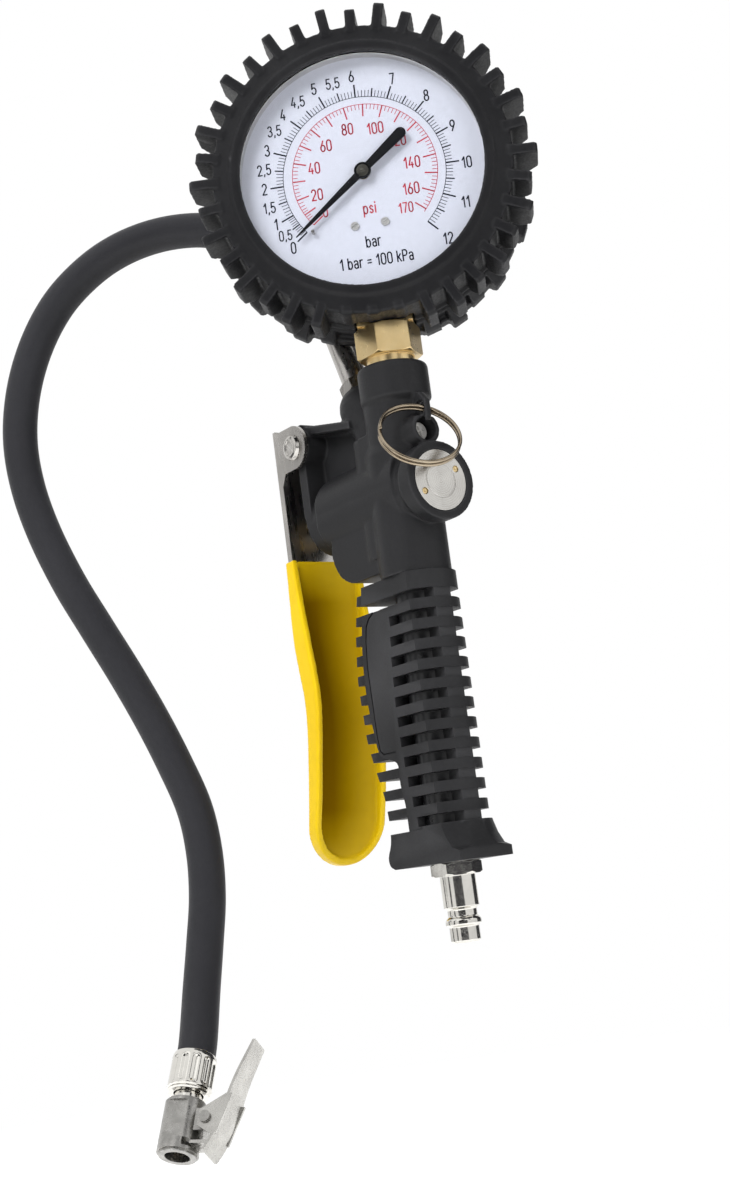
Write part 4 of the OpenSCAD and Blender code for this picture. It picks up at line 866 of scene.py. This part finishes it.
class INFLATOR_OT_gauge(bpy.types.Operator):
    """Case, bezel, glass, dial plate and its small fixings"""

    bl_idname = "inflator.gauge"
    bl_label = "Gauge"

    def execute(self, context):
        softened("gauge_case", "gauge_case_painted", FINISHES["case"], 0.3)
        turned("gauge_bezel", band(42.5, 46.0, 18.0, 18.8), GAUGE, FINISHES["case"], around=180, cut=0.3,
               slot="black_steel", stands_for=("bezel",))
        turned("dial_spacer", band(42.7, 44.7, DIAL_Z, 16.5), GAUGE, FINISHES["nickel"], around=180, cut=0.2,
               slot="steel", stands_for=("spacer_ring",))
        paint("gauge_glass", FINISHES["glass"])
        paint("dial_plate", FINISHES["dial"])
        softened("dial_screws", "dial_screws_slotted", FINISHES["screw"], 0.08)
        turned("dial_stop_pin", band(0, 0.6, DIAL_Z, DIAL_Z + 2.6), shifted(GAUGE, (-19.9, -18.8, 0)),
               FINISHES["zinc"], around=24, cut=0.15, slot="steel", stands_for=("dial_stop",))
        return {"FINISHED"}


def band(inner, outer, low, high):
    """The profile of a plain ring or pin between two radii and two heights."""
    return [(inner, low), (outer, low), (outer, high), (inner, high)]


def shifted(place, by):
    """A frame moved along its own axes, in millimetres."""
    made = place.copy()
    made[:3, 3] = made[:3, 3] + made[:3, :3] @ (np.array(by, float) * MM)
    return made


def paint(node, material):
    """Gives a CAD node that shows as it is its finish."""
    solid = frame["nodes"][node]
    if not solid.material_slots:
        solid.data.materials.append(material)
    for place in solid.material_slots:
        place.material = material


def bars(lines, low, high):
    """Closed flat bars: each line is (x0, y0, x1, y1, width), its corners lie half its width to both sides,
    and it stands from low to high."""
    p = np.array(lines, float)
    a, b, w = p[:, 0:2], p[:, 2:4], p[:, 4:5] / 2
    d = (b - a) / np.linalg.norm(b - a, axis=1)[:, None]
    s = np.stack([-d[:, 1], d[:, 0]], 1) * w
    flat = np.stack([a - s, b - s, b + s, a + s], 1)
    points = np.concatenate([np.concatenate([flat, np.full((len(p), 4, 1), z)], 2) for z in (low, high)], 1)
    faces = np.array([(3, 2, 1, 0), (4, 5, 6, 7), (0, 1, 5, 4), (1, 2, 6, 5), (2, 3, 7, 6), (3, 0, 4, 7)])
    return points.reshape(-1, 3), (faces[None] + 8 * np.arange(len(p))[:, None, None]).reshape(-1, 4)


BAR_MIDDLE, BAR_RADIUS = np.array((0.3, -0.3)), 28.5
PSI_MIDDLE, PSI_RADIUS = np.array((0.5, 0.0)), 25.4
PSI_IN_BAR = 14.5038
# directions on the dial in degrees: where both scales start, where each ends, and what a bar takes up
SCALE_START, BAR_END, PSI_END = 218.2, -46.7, -43.0
FIRST_BAR, PER_BAR = 16.0, 22.63


def bar_angle(v):
    """Direction of a pressure in bar on the dial, in degrees: even steps down from the start, of which the
    first bar's are pressed together."""
    v = np.asarray(v, float)
    return np.where(v < 1, SCALE_START - FIRST_BAR * v, SCALE_START - FIRST_BAR - PER_BAR * (v - 1))


def ticks(middle, angles, r0, r1, width):
    """Short bars that point at a middle, at each angle, from one radius to another."""
    a = np.radians(angles)
    way = np.stack([np.cos(a), np.sin(a)], 1)
    return np.concatenate([middle + r0 * way, middle + r1 * way, np.full((len(a), 1), width)], 1).tolist()


def arc(middle, radius, start, end, width, steps=160):
    """A thin arc as short bars end to end."""
    a = np.radians(np.linspace(start, end, steps + 1))
    p = middle + radius * np.stack([np.cos(a), np.sin(a)], 1)
    return np.concatenate([p[:-1], p[1:], np.full((steps, 1), width)], 1).tolist()


def bow(x, y, rx, ry, start, end):
    """Points of an elliptic arc between two directions in degrees."""
    a = np.radians(np.linspace(start, end, max(3, int(abs(end - start) / 15))))
    return np.stack([x + rx * np.cos(a), y + ry * np.sin(a)], 1).tolist()


# strokes of each sign on a body one unit high: (width, lines)
SIGNS = {
    "0": (0.5, [bow(0.25, 0.75, 0.25, 0.25, 0, 180) + bow(0.25, 0.25, 0.25, 0.25, 180, 360) + [[0.5, 0.75]]]),
    "1": (0.3, [[[0.02, 0.72], [0.26, 1], [0.26, 0]]]),
    "2": (0.5, [bow(0.25, 0.74, 0.24, 0.26, 170, -35) + [[0, 0], [0.5, 0]]]),
    "3": (0.5, [bow(0.24, 0.76, 0.22, 0.24, 160, -90)[:-1] + bow(0.24, 0.26, 0.26, 0.26, 90, -160)]),
    "4": (0.52, [[[0.3, 1], [0, 0.26], [0.52, 0.26]], [[0.38, 0.5], [0.38, 0]]]),
    "5": (0.5, [[[0.46, 1], [0.07, 1], [0.03, 0.52]] + bow(0.24, 0.31, 0.26, 0.31, 140, -155)]),
    "6": (0.5, [bow(0.25, 0.29, 0.25, 0.29, 0, 360), [[0.34, 1], [0.04, 0.42]]]),
    "7": (0.48, [[[0, 1], [0.48, 1], [0.16, 0]]]),
    "8": (0.5, [bow(0.25, 0.76, 0.21, 0.24, 0, 360), bow(0.25, 0.26, 0.25, 0.26, 0, 360)]),
    "9": (0.5, [bow(0.25, 0.71, 0.25, 0.29, 0, 360), [[0.16, 0], [0.46, 0.58]]]),
    ",": (0.1, [[[0.08, 0.06], [0.02, -0.16]]]),
    "=": (0.42, [[[0, 0.32], [0.42, 0.32]], [[0, 0.58], [0.42, 0.58]]]),
    " ": (0.12, []),
    "a": (0.42, [bow(0.2, 0.48, 0.22, 0.22, 150, 0) + [[0.42, 0]], bow(0.22, 0.2, 0.2, 0.2, 0, 360)]),
    "b": (0.46, [[[0, 1], [0, 0]], bow(0.23, 0.35, 0.23, 0.35, 0, 360)]),
    "i": (0.04, [[[0.02, 0], [0.02, 0.7]], [[0.02, 0.9], [0.02, 1]]]),
    "k": (0.4, [[[0, 0], [0, 1]], [[0.38, 0.7], [0, 0.28]], [[0.14, 0.42], [0.42, 0]]]),
    "p": (0.46, [[[0, 0.7], [0, -0.28]], bow(0.23, 0.35, 0.23, 0.35, 0, 360)]),
    "r": (0.28, [[[0, 0], [0, 0.7]], bow(0.22, 0.46, 0.22, 0.24, 180, 70)]),
    "s": (0.4, [[[0.38, 0.58], [0.2, 0.7], [0.03, 0.58], [0.08, 0.42], [0.34, 0.27], [0.38, 0.12], [0.2, 0],
                 [0, 0.12]]]),
    "P": (0.5, [[[0, 0], [0, 1]] + bow(0.25, 0.74, 0.25, 0.26, 90, -90) + [[0, 0.48]]]),
}
SIGN_WIDE, SIGN_STROKE = 0.74, 0.125  # a sign's width unit and its stroke, as shares of its height
SIGN_OVER = 0.3  # how far a stroke runs past its end, as a share of the stroke
SIGN_GAP = 0.27  # from a sign to the next, in width units


def lettering(labels, height):
    """Bars of labels (text, x, y, share of the height) in a narrow upright hand of even strokes: each label
    is centred on its place, and each step of a stroke is a bar."""
    lines = []
    for text, x, y, share in labels:
        tall = height * share
        wide, stroke = tall * SIGN_WIDE, tall * SIGN_STROKE
        at = -(sum(SIGNS[sign][0] + SIGN_GAP for sign in text) - SIGN_GAP) / 2
        for sign in text:
            width, strokes = SIGNS[sign]
            for line in strokes:
                p = np.array(line) * (wide, tall) + (x + at * wide, y - tall / 2)
                for a, b in zip(p[:-1], p[1:]):
                    over = unit(b - a) * stroke * SIGN_OVER
                    lines.append((*(a - over), *(b + over), stroke))
            at += width + SIGN_GAP
    return lines


def printed(name, lines, ink):
    """A print on the dial: flat bars of ink."""
    points, faces = bars(lines, PRINT_LOW, PRINT_HIGH)
    return creased(piece(name, world(points, GAUGE), faces, FINISHES[ink], seal=False, slot="pointer_black"))


BAR_LABELS = (
    ("0", -27.5, -22.8, 1), ("0,5", -29.7, -17.9, 0.9), ("1", -32.5, -13.4, 1), ("1,5", -34.1, -7.0, 0.95),
    ("2", -35, 0, 1), ("2,5", -34.3, 7.1, 0.95), ("3", -32.4, 14, 1), ("3,5", -29, 20.8, 0.95),
    ("4", -25.3, 26.2, 1), ("4,5", -19.5, 30.1, 0.95), ("5", -13.3, 33.8, 1), ("5,5", -6.5, 34.7, 0.95),
    ("6", 0.3, 36.2, 1), ("7", 14.4, 32.8, 1), ("8", 25.4, 24.6, 1), ("9", 32.9, 12, 1), ("10", 36, -2, 1),
    ("11", 33.7, -16.2, 1), ("12", 26, -28.2, 1), ("bar", 0.3, -24.9, 1), ("1 bar = 100 kPa", 0.5, -31.8, 1),
)
PSI_LABELS = (
    ("0", -14.9, -11.6, 0.95), ("20", -17, -5, 1), ("40", -16.8, 4.8, 1), ("60", -11.7, 12.3, 1),
    ("80", -3.5, 17, 1), ("100", 6.2, 15.8, 1), ("120", 13.4, 10, 1), ("140", 17.2, 1.2, 1),
    ("160", 15.7, -8.2, 1), ("170", 13, -14.8, 0.9), ("psi", 0.5, -12.8, 1),
)


class INFLATOR_OT_scales(bpy.types.Operator):
    """Printed scales: ticks, arcs, numerals and units"""

    bl_idname = "inflator.scales"
    bl_label = "Printed scales"

    def execute(self, context):
        sizes = context.scene.inflator_sizes
        wide, tall = sizes.tick / MM, sizes.numeral / MM
        thin, middling = wide * 0.42, wide * 0.85
        fine = np.concatenate([np.arange(0.1, 1.0, 0.1), np.arange(1.1, 12.0, 0.1)])
        lines = ticks(BAR_MIDDLE, bar_angle(fine), BAR_RADIUS, 30.9, thin)
        lines += ticks(BAR_MIDDLE, bar_angle(np.arange(0.5, 12, 0.5)), BAR_RADIUS, 31.6, middling)
        lines += ticks(BAR_MIDDLE, bar_angle(np.arange(0, 13, 1)), BAR_RADIUS, 33.2, wide)
        lines += arc(BAR_MIDDLE, BAR_RADIUS, SCALE_START, BAR_END, wide * 0.4)
        printed("bar_scale_ticks", lines, "black_ink")
        twos, tens = np.arange(0, 172, 2) / PSI_IN_BAR, np.arange(0, 171, 10) / PSI_IN_BAR
        lines = ticks(PSI_MIDDLE, bar_angle(twos), PSI_RADIUS, 23.5, thin)
        lines += ticks(PSI_MIDDLE, bar_angle(tens), PSI_RADIUS, 20.9, middling)
        lines += arc(PSI_MIDDLE, PSI_RADIUS, SCALE_START, PSI_END, wide * 0.4)
        printed("psi_scale_ticks", lines, "red_ink")
        printed("bar_numerals", lettering(BAR_LABELS, tall), "black_ink")
        printed("psi_numerals", lettering(PSI_LABELS, tall), "red_ink")
        return {"FINISHED"}


class INFLATOR_OT_pointer(bpy.types.Operator):
    """Pointer with its blunt tail, and the turned hub"""

    bl_idname = "inflator.pointer"
    bl_label = "Pointer"

    def execute(self, context):
        self.blade()
        hub = [(0, 15.1), (2.5, 15.1), (2.95, 15.3), (3.0, 15.9), (2.85, 16.1), (2.35, 16.1), (2.2, 15.9),
               (0, 15.9)]
        turned("pointer_hub", hub, GAUGE, FINISHES["needle"], around=72, cut=0.1, body="needle",
               slot="pointer_black", stands_for=("pointer_cap",))
        disc = [(0, 15.8), (2.1, 15.8), (2.1, 16.05), (0.7, 16.12), (0.5, 16.0), (0, 16.0)]
        turned("pointer_hub_disc", disc, GAUGE, FINISHES["hub"], around=48, cut=0.06, body="needle",
               slot="steel")
        return {"FINISHED"}

    def blade(self):
        """A flat outline, with a tip on one side of the middle and a round tail on the other, turned to where
        the scales start and stacked in four layers whose outer two are a little smaller."""
        low, high = 15.2, 15.75
        tip, tail, tail_r = 32.8, 18.6, 2.0
        end = np.radians(np.linspace(80, -80, 11))
        blunt = np.stack([-tail - tail_r * np.cos(end), -tail_r * np.sin(end)], 1)
        edge = np.array([(-3.0, 1.35), (0, 1.5), (3.0, 1.3), (tip - 5.6, 0.55), (tip, 0.14)])
        line = np.concatenate([edge, edge[::-1] * (1, -1), blunt])
        a = math.radians(218)
        turn = np.array([[math.cos(a), -math.sin(a)], [math.sin(a), math.cos(a)]])
        flat = line @ turn.T
        n = len(flat)
        rings = [(flat * 0.995, low), (flat, low + 0.08), (flat, high - 0.1), (flat * 0.992, high)]
        points = np.concatenate([np.concatenate([xy, np.full((n, 1), z)], 1) for xy, z in rings])
        faces = grid_faces(len(rings), n).tolist() + [list(range(n)), list(range(3 * n, 4 * n))]
        mesh = bpy.data.meshes.new("pointer_blade")
        mesh.from_pydata(world(points, GAUGE).tolist(), [], faces)
        reworked(mesh, turn_out=True)
        creased(listed(mesh, "pointer_blade", FINISHES["needle"], "needle", ("pointer",)))


# ---- grip, valve body and trigger ----
class INFLATOR_OT_grip(bpy.types.Operator):
    """Grip moulding and the glossy air tube behind its slots"""

    bl_idname = "inflator.grip"
    bl_label = "Grip"

    def execute(self, context):
        softened("grip", "grip_moulding", FINISHES["grip"], 0.3)
        turned("air_tube_gloss", stepped(band(4.0, 8.2, 6.4, 114), 12), UPRIGHT, FINISHES["tube"], around=72,
               cut=0.4, slot="gloss_tube", stands_for=("air_tube",))
        return {"FINISHED"}


class INFLATOR_OT_body(bpy.types.Operator):
    """Valve body moulding, its turned cap and the screws"""

    bl_idname = "inflator.body"
    bl_label = "Valve body"

    def execute(self, context):
        moulded("valve_body", "valve_body_moulding", FINISHES["moulding"], 0.5, 3)
        softened("valve_cap", "valve_cap_turned", FINISHES["cap"], 0.25)
        profile = [(0, -2.3), (1.12, -2.3), (1.12, -0.75), (0.9, -0.55), (0.45, -0.5), (0, -0.75)]
        off = 8.1  # from the cap's middle
        for n, angle in enumerate((119.4, -60.6)):
            a = math.radians(angle)
            place = shifted(VALVE, (off * math.cos(a), off * math.sin(a), CAP_FACE))
            turned(f"cap_plug_{n + 1}", profile, place, FINISHES["brass"], around=24, cut=0.08, slot="brass")
        softened("boss_screw", "boss_screw_crossed", FINISHES["screw"], 0.12)
        return {"FINISHED"}


SLEEVE_TOP, SLEEVE_BACK, SLEEVE_FLOOR = 120.0, -57.6, 3.4
# distance below the top edge, how far the back stands out, the walls' depth in the solid and as shown
SLEEVE_LINE = (
    (0, 0, 7.2, 4.9), (14, 0.7, 7.5, 6.6), (28, 1.3, 7.8, 9.0), (40, 0.2, 7.6, 9.4), (51, -1.2, 7.2, 8.6),
    (62, -0.5, 6.8, 7.8), (73, 1.4, 6.6, 7.2), (86, 4, 6.6, 6.8), (100, 7.2, 5.8, 5.8), (111, 10, 4.4, 4.4),
)


class INFLATOR_OT_trigger(bpy.types.Operator):
    """Steel trigger, its dipped yellow sleeve and the pivot rivet"""

    bl_idname = "inflator.trigger"
    bl_label = "Trigger"

    def execute(self, context):
        sleeve = moulded("trigger_sleeve", "trigger_sleeve_dipped", FINISHES["sleeve"], 0.45, 12,
                         body="trigger")
        self.draw_in(sleeve.data)
        # painted shade in the sleeve's channel, written as an attribute
        self.paint_channel_shade(sleeve.data)
        softened("trigger_frame", "trigger_frame_steel", FINISHES["zinc"], 0.3, body="trigger")
        under = 14.1  # from the rivet's middle to the underside of a head
        head = [(3, under), (4.8, under), (4.8, under + 0.1), (4.2, under + 1.2), (3.1, under + 1.5),
                (2.4, under + 1.1), (0, under + 1.1)]
        profile = [(r, -z) for r, z in reversed(head)] + head
        turned("pivot_rivet_headed", profile, PIVOT, FINISHES["rivet"], around=72, cut=0.2, slot="steel",
               stands_for=("pivot_rivet",))
        return {"FINISHED"}

    def draw_in(self, mesh):
        """The channel's walls are shallow at the top and deepest under the first finger: above the floor,
        each height is scaled by the wanted height of the wall over the height it came with."""
        co = triples(mesh.vertices, "co") / MM
        drop, back, wall, wanted = np.array(SLEEVE_LINE).T
        low = SLEEVE_TOP - co[:, 2]
        height = co[:, 0] - np.interp(low, drop, SLEEVE_BACK - back) - SLEEVE_FLOOR
        scale = np.interp(low, drop, (wanted - SLEEVE_FLOOR) / (wall - SLEEVE_FLOOR))
        co[:, 0] += np.where(height > 0, height * (scale - 1), 0)
        mesh.vertices.foreach_set("co", (co * MM).ravel())
        mesh.update()

    def paint_channel_shade(self, mesh):
        """Writes a painted shade for each vertex, for faces that look into the sleeve's channel: nothing for
        the first 0.6 mm under the rim, which is the furthest point forward at its level, and all from 3 mm
        below that. The side towards +y counts less, so the painted shade is heaviest by the wall on the -y
        side, as a painted shadow of that wall."""
        co, way = triples(mesh.vertices, "co") / MM, triples(mesh.vertices, "normal")
        step = 4.0
        level = np.round(co[:, 2] / step).astype(int)
        lowest = level.min()
        rim = np.full(level.max() - lowest + 1, -1e9)
        np.maximum.at(rim, level - lowest, co[:, 0])
        rim = np.interp(co[:, 2], step * (lowest + np.arange(len(rim))), rim)
        inward = np.clip(way[:, 0] * 1.5 - np.sign(co[:, 1]) * way[:, 1], 0, 1)
        # painted shadow of the near wall: more towards -y
        shaded = np.clip(0.8 - co[:, 1] / 30, 0, 1)
        painted_shade = np.clip((rim - co[:, 0] - 0.6) / 3, 0, 1) * inward * shaded
        layer = mesh.attributes.new("painted_shade", "FLOAT", "POINT")
        layer.data.foreach_set("value", painted_shade.astype(np.float32))


class INFLATOR_OT_ring(bpy.types.Operator):
    """Split ring: two close turns of wire with rounded ends"""

    bl_idname = "inflator.ring"
    bl_label = "Split ring"

    def execute(self, context):
        centre, hole = np.array((20.7, -6.4, 146.1)), np.array((15.6, 0, 157.3))
        loop_r, wire_r = 13.78, 0.62
        axis = unit(np.array((0.81, -0.25, 0.531)))
        start = square_to(axis, hole - centre)
        pitch = context.scene.inflator_sizes.ring_pitch / MM
        path = wound(centre, axis, start, loop_r, -pitch, pitch, 2, rings=72, phase=100)
        radius = np.full(len(path), wire_r)
        radius[[0, -1]], radius[[1, -2]] = 0.45, 0.58
        carried("split_ring_wire", path, radius, FINISHES["ring"], sides=16, first=axis, body="key_ring",
                slot="ring_steel", stands_for=("split_ring",))
        return {"FINISHED"}


class INFLATOR_OT_neck(bpy.types.Operator):
    """Brass hexagon under the gauge and the gauge's brass block"""

    bl_idname = "inflator.neck"
    bl_label = "Neck"

    def execute(self, context):
        softened("neck_adapter", "neck_hexagon", FINISHES["brass"], 0.3)
        softened("gauge_socket", "gauge_socket_brass", FINISHES["brass"], 0.4)
        return {"FINISHED"}


class INFLATOR_OT_plug(bpy.types.Operator):
    """Inlet plug with its hexagon, neck and locking bead"""

    bl_idname = "inflator.plug"
    bl_label = "Inlet plug"

    def execute(self, context):
        bore, shank, hex_width, hex_high = 3.4, 6, 15, 4.4
        corner = hex_width / 2 / math.cos(math.pi / 6)
        thread = [(bore, 16.4), (shank, 16.4), (shank, hex_high)]
        nut = [(corner - 0.8, hex_high), (corner + 0.01, hex_high - 0.48), (corner + 0.01, 0.48),
               (corner - 0.8, 0)]
        neck = [(shank, 0), (shank, -10.5), (5.75, -10.5), (4.95, -11.3), (4.95, -13.5)]
        bead = [(5.6, -14.1), (shank, -14.7), (shank, -16.2), (5, -16.9)]
        nose = [(5, -21.6), (4.4, -22.2), (bore, -22.2)]
        made = turned("inlet_plug_plated", thread + nut + neck + bead + nose, UPRIGHT, FINISHES["nickel"],
                      around=96, cut=0.22, hexagon=(0, hex_high, hex_width, 0), slot="plated_steel",
                      stands_for=("inlet_plug",))
        creased(made, 40)
        return {"FINISHED"}


class INFLATOR_OT_chuck(bpy.types.Operator):
    """Clip-on chuck: body, lever clip, pin and the small parts in its mouth"""

    bl_idname = "inflator.chuck"
    bl_label = "Chuck"

    def execute(self, context):
        paint("chuck_tail", FINISHES["nickel"])
        for node in ("chuck_body", "clip_pin"):
            paint(node, FINISHES["satin"])
        softened("chuck_clip", "chuck_clip_pressed", FINISHES["clip"], 0.18, body="clip")
        paint("chuck_seal", FINISHES["seal"])
        paint("valve_opener", FINISHES["brass"])
        pivot = shifted(CHUCK, (10.3, 0, 23.8))[:3, 3] / MM
        axis = -CHUCK[:3, 1]
        path = wound(pivot, axis, CHUCK[:3, 0], 1.62, 4.4, 4.6, 0.75)
        carried("clip_spring_wire", path, 0.25, FINISHES["zinc"], sides=10, first=axis, slot="steel",
                stands_for=("clip_spring",))
        return {"FINISHED"}


# CAD nodes inside that show as they are, by finish
HIDDEN_NODES = {
    "seal": ("plug_seal", "tube_seal", "stem_seal", "neck_seal", "fitting_seal", "poppet"),
    "zinc": ("poppet_washer", "tip_link", "movement_pillars"),
    "brass": ("valve_seat", "stem_guide", "tip_block", "sector_gear", "pinion", "movement_back_plate",
              "movement_front_plate", "dial_posts"),
    "nickel": ("valve_stem",),
    "bronze": ("bourdon_tube",),
}


class INFLATOR_OT_inside(bpy.types.Operator):
    """Springs, seals and the gauge's movement"""

    bl_idname = "inflator.inside"
    bl_label = "Inside"

    def execute(self, context):
        x = VALVE[:3, 2]
        path = wound(VALVE[:3, 3] / MM, x, (0, 1, 0), 4.1, 4.2, 9.7, 3)
        carried("valve_spring_wire", path, 0.5, FINISHES["zinc"], sides=10, first=x, body="stem",
                slot="steel", stands_for=("valve_spring",))
        self.hair_spring()
        for key, nodes in HIDDEN_NODES.items():
            for node in nodes:
                paint(node, FINISHES[key])
        return {"FINISHED"}

    def hair_spring(self):
        """A flat strip wound outwards: its radius grows evenly with its turn."""
        turns, start, growth, half, low, high = 4, 1.9, 3.0, 0.09, 7.4, 8.2
        k = np.linspace(0, 1, 96 * turns + 1)
        a, r = 2 * np.pi * turns * k, start + growth * k
        corners = ((-half, low), (half, low), (half, high), (-half, high))
        strip = np.stack([np.stack([(r + s) * np.cos(a), (r + s) * np.sin(a), 0 * r + z], 1)
                          for s, z in corners], 1)
        ends = [strip[at].mean(1, keepdims=True).repeat(4, 1) for at in (slice(0, 1), slice(-1, None))]
        strip = np.concatenate([ends[0], strip, ends[1]])
        piece("hair_spring_strip", world(strip, GAUGE), grid_faces(len(strip), 4), FINISHES["bronze"],
              body=body_of("hair_spring"), slot="brass", stands_for=("hair_spring",))


def body_of(node):
    """The CAD body that a node rides on."""
    return frame["nodes"][node]["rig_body"]


PIECES = (
    INFLATOR_OT_stage, INFLATOR_OT_hose, INFLATOR_OT_boot, INFLATOR_OT_gauge, INFLATOR_OT_scales,
    INFLATOR_OT_pointer, INFLATOR_OT_grip, INFLATOR_OT_body, INFLATOR_OT_trigger, INFLATOR_OT_ring,
    INFLATOR_OT_neck, INFLATOR_OT_plug, INFLATOR_OT_chuck, INFLATOR_OT_inside,
)


class INFLATOR_PT_panel(bpy.types.Panel):
    """Lists the inflator's colours, sizes and pieces"""

    bl_idname = "INFLATOR_PT_panel"
    bl_label = "Tyre inflator"
    bl_space_type = "VIEW_3D"
    bl_region_type = "UI"
    bl_category = "Inflator"

    def draw(self, context):
        for group in (context.scene.inflator_colours, context.scene.inflator_sizes):
            for key in group.bl_rna.properties.keys():
                if key not in ("rna_type", "name"):
                    self.layout.prop(group, key)
        for kind in PIECES:
            self.layout.operator(kind.bl_idname)


CLASSES = (InflatorColours, InflatorSizes, *PIECES, INFLATOR_PT_panel)


def register():
    """Makes the classes known and hangs the sizes and colours on the scene."""
    for kind in CLASSES:
        bpy.utils.register_class(kind)
    bpy.types.Scene.inflator_colours = bpy.props.PointerProperty(type=InflatorColours)
    bpy.types.Scene.inflator_sizes = bpy.props.PointerProperty(type=InflatorSizes)


def unregister():
    """Takes back what register did."""
    del bpy.types.Scene.inflator_colours
    del bpy.types.Scene.inflator_sizes
    for kind in reversed(CLASSES):
        bpy.utils.unregister_class(kind)


def main():
    """Makes the finishes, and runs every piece's operator in turn."""
    register()
    make_finishes(bpy.context.scene.inflator_colours)
    for kind in PIECES:
        group, name = kind.bl_idname.split(".")
        if getattr(getattr(bpy.ops, group), name)() != {"FINISHED"}:
            raise RuntimeError(f"{kind.bl_idname} did not finish")


if __name__ == "__main__":
    main()
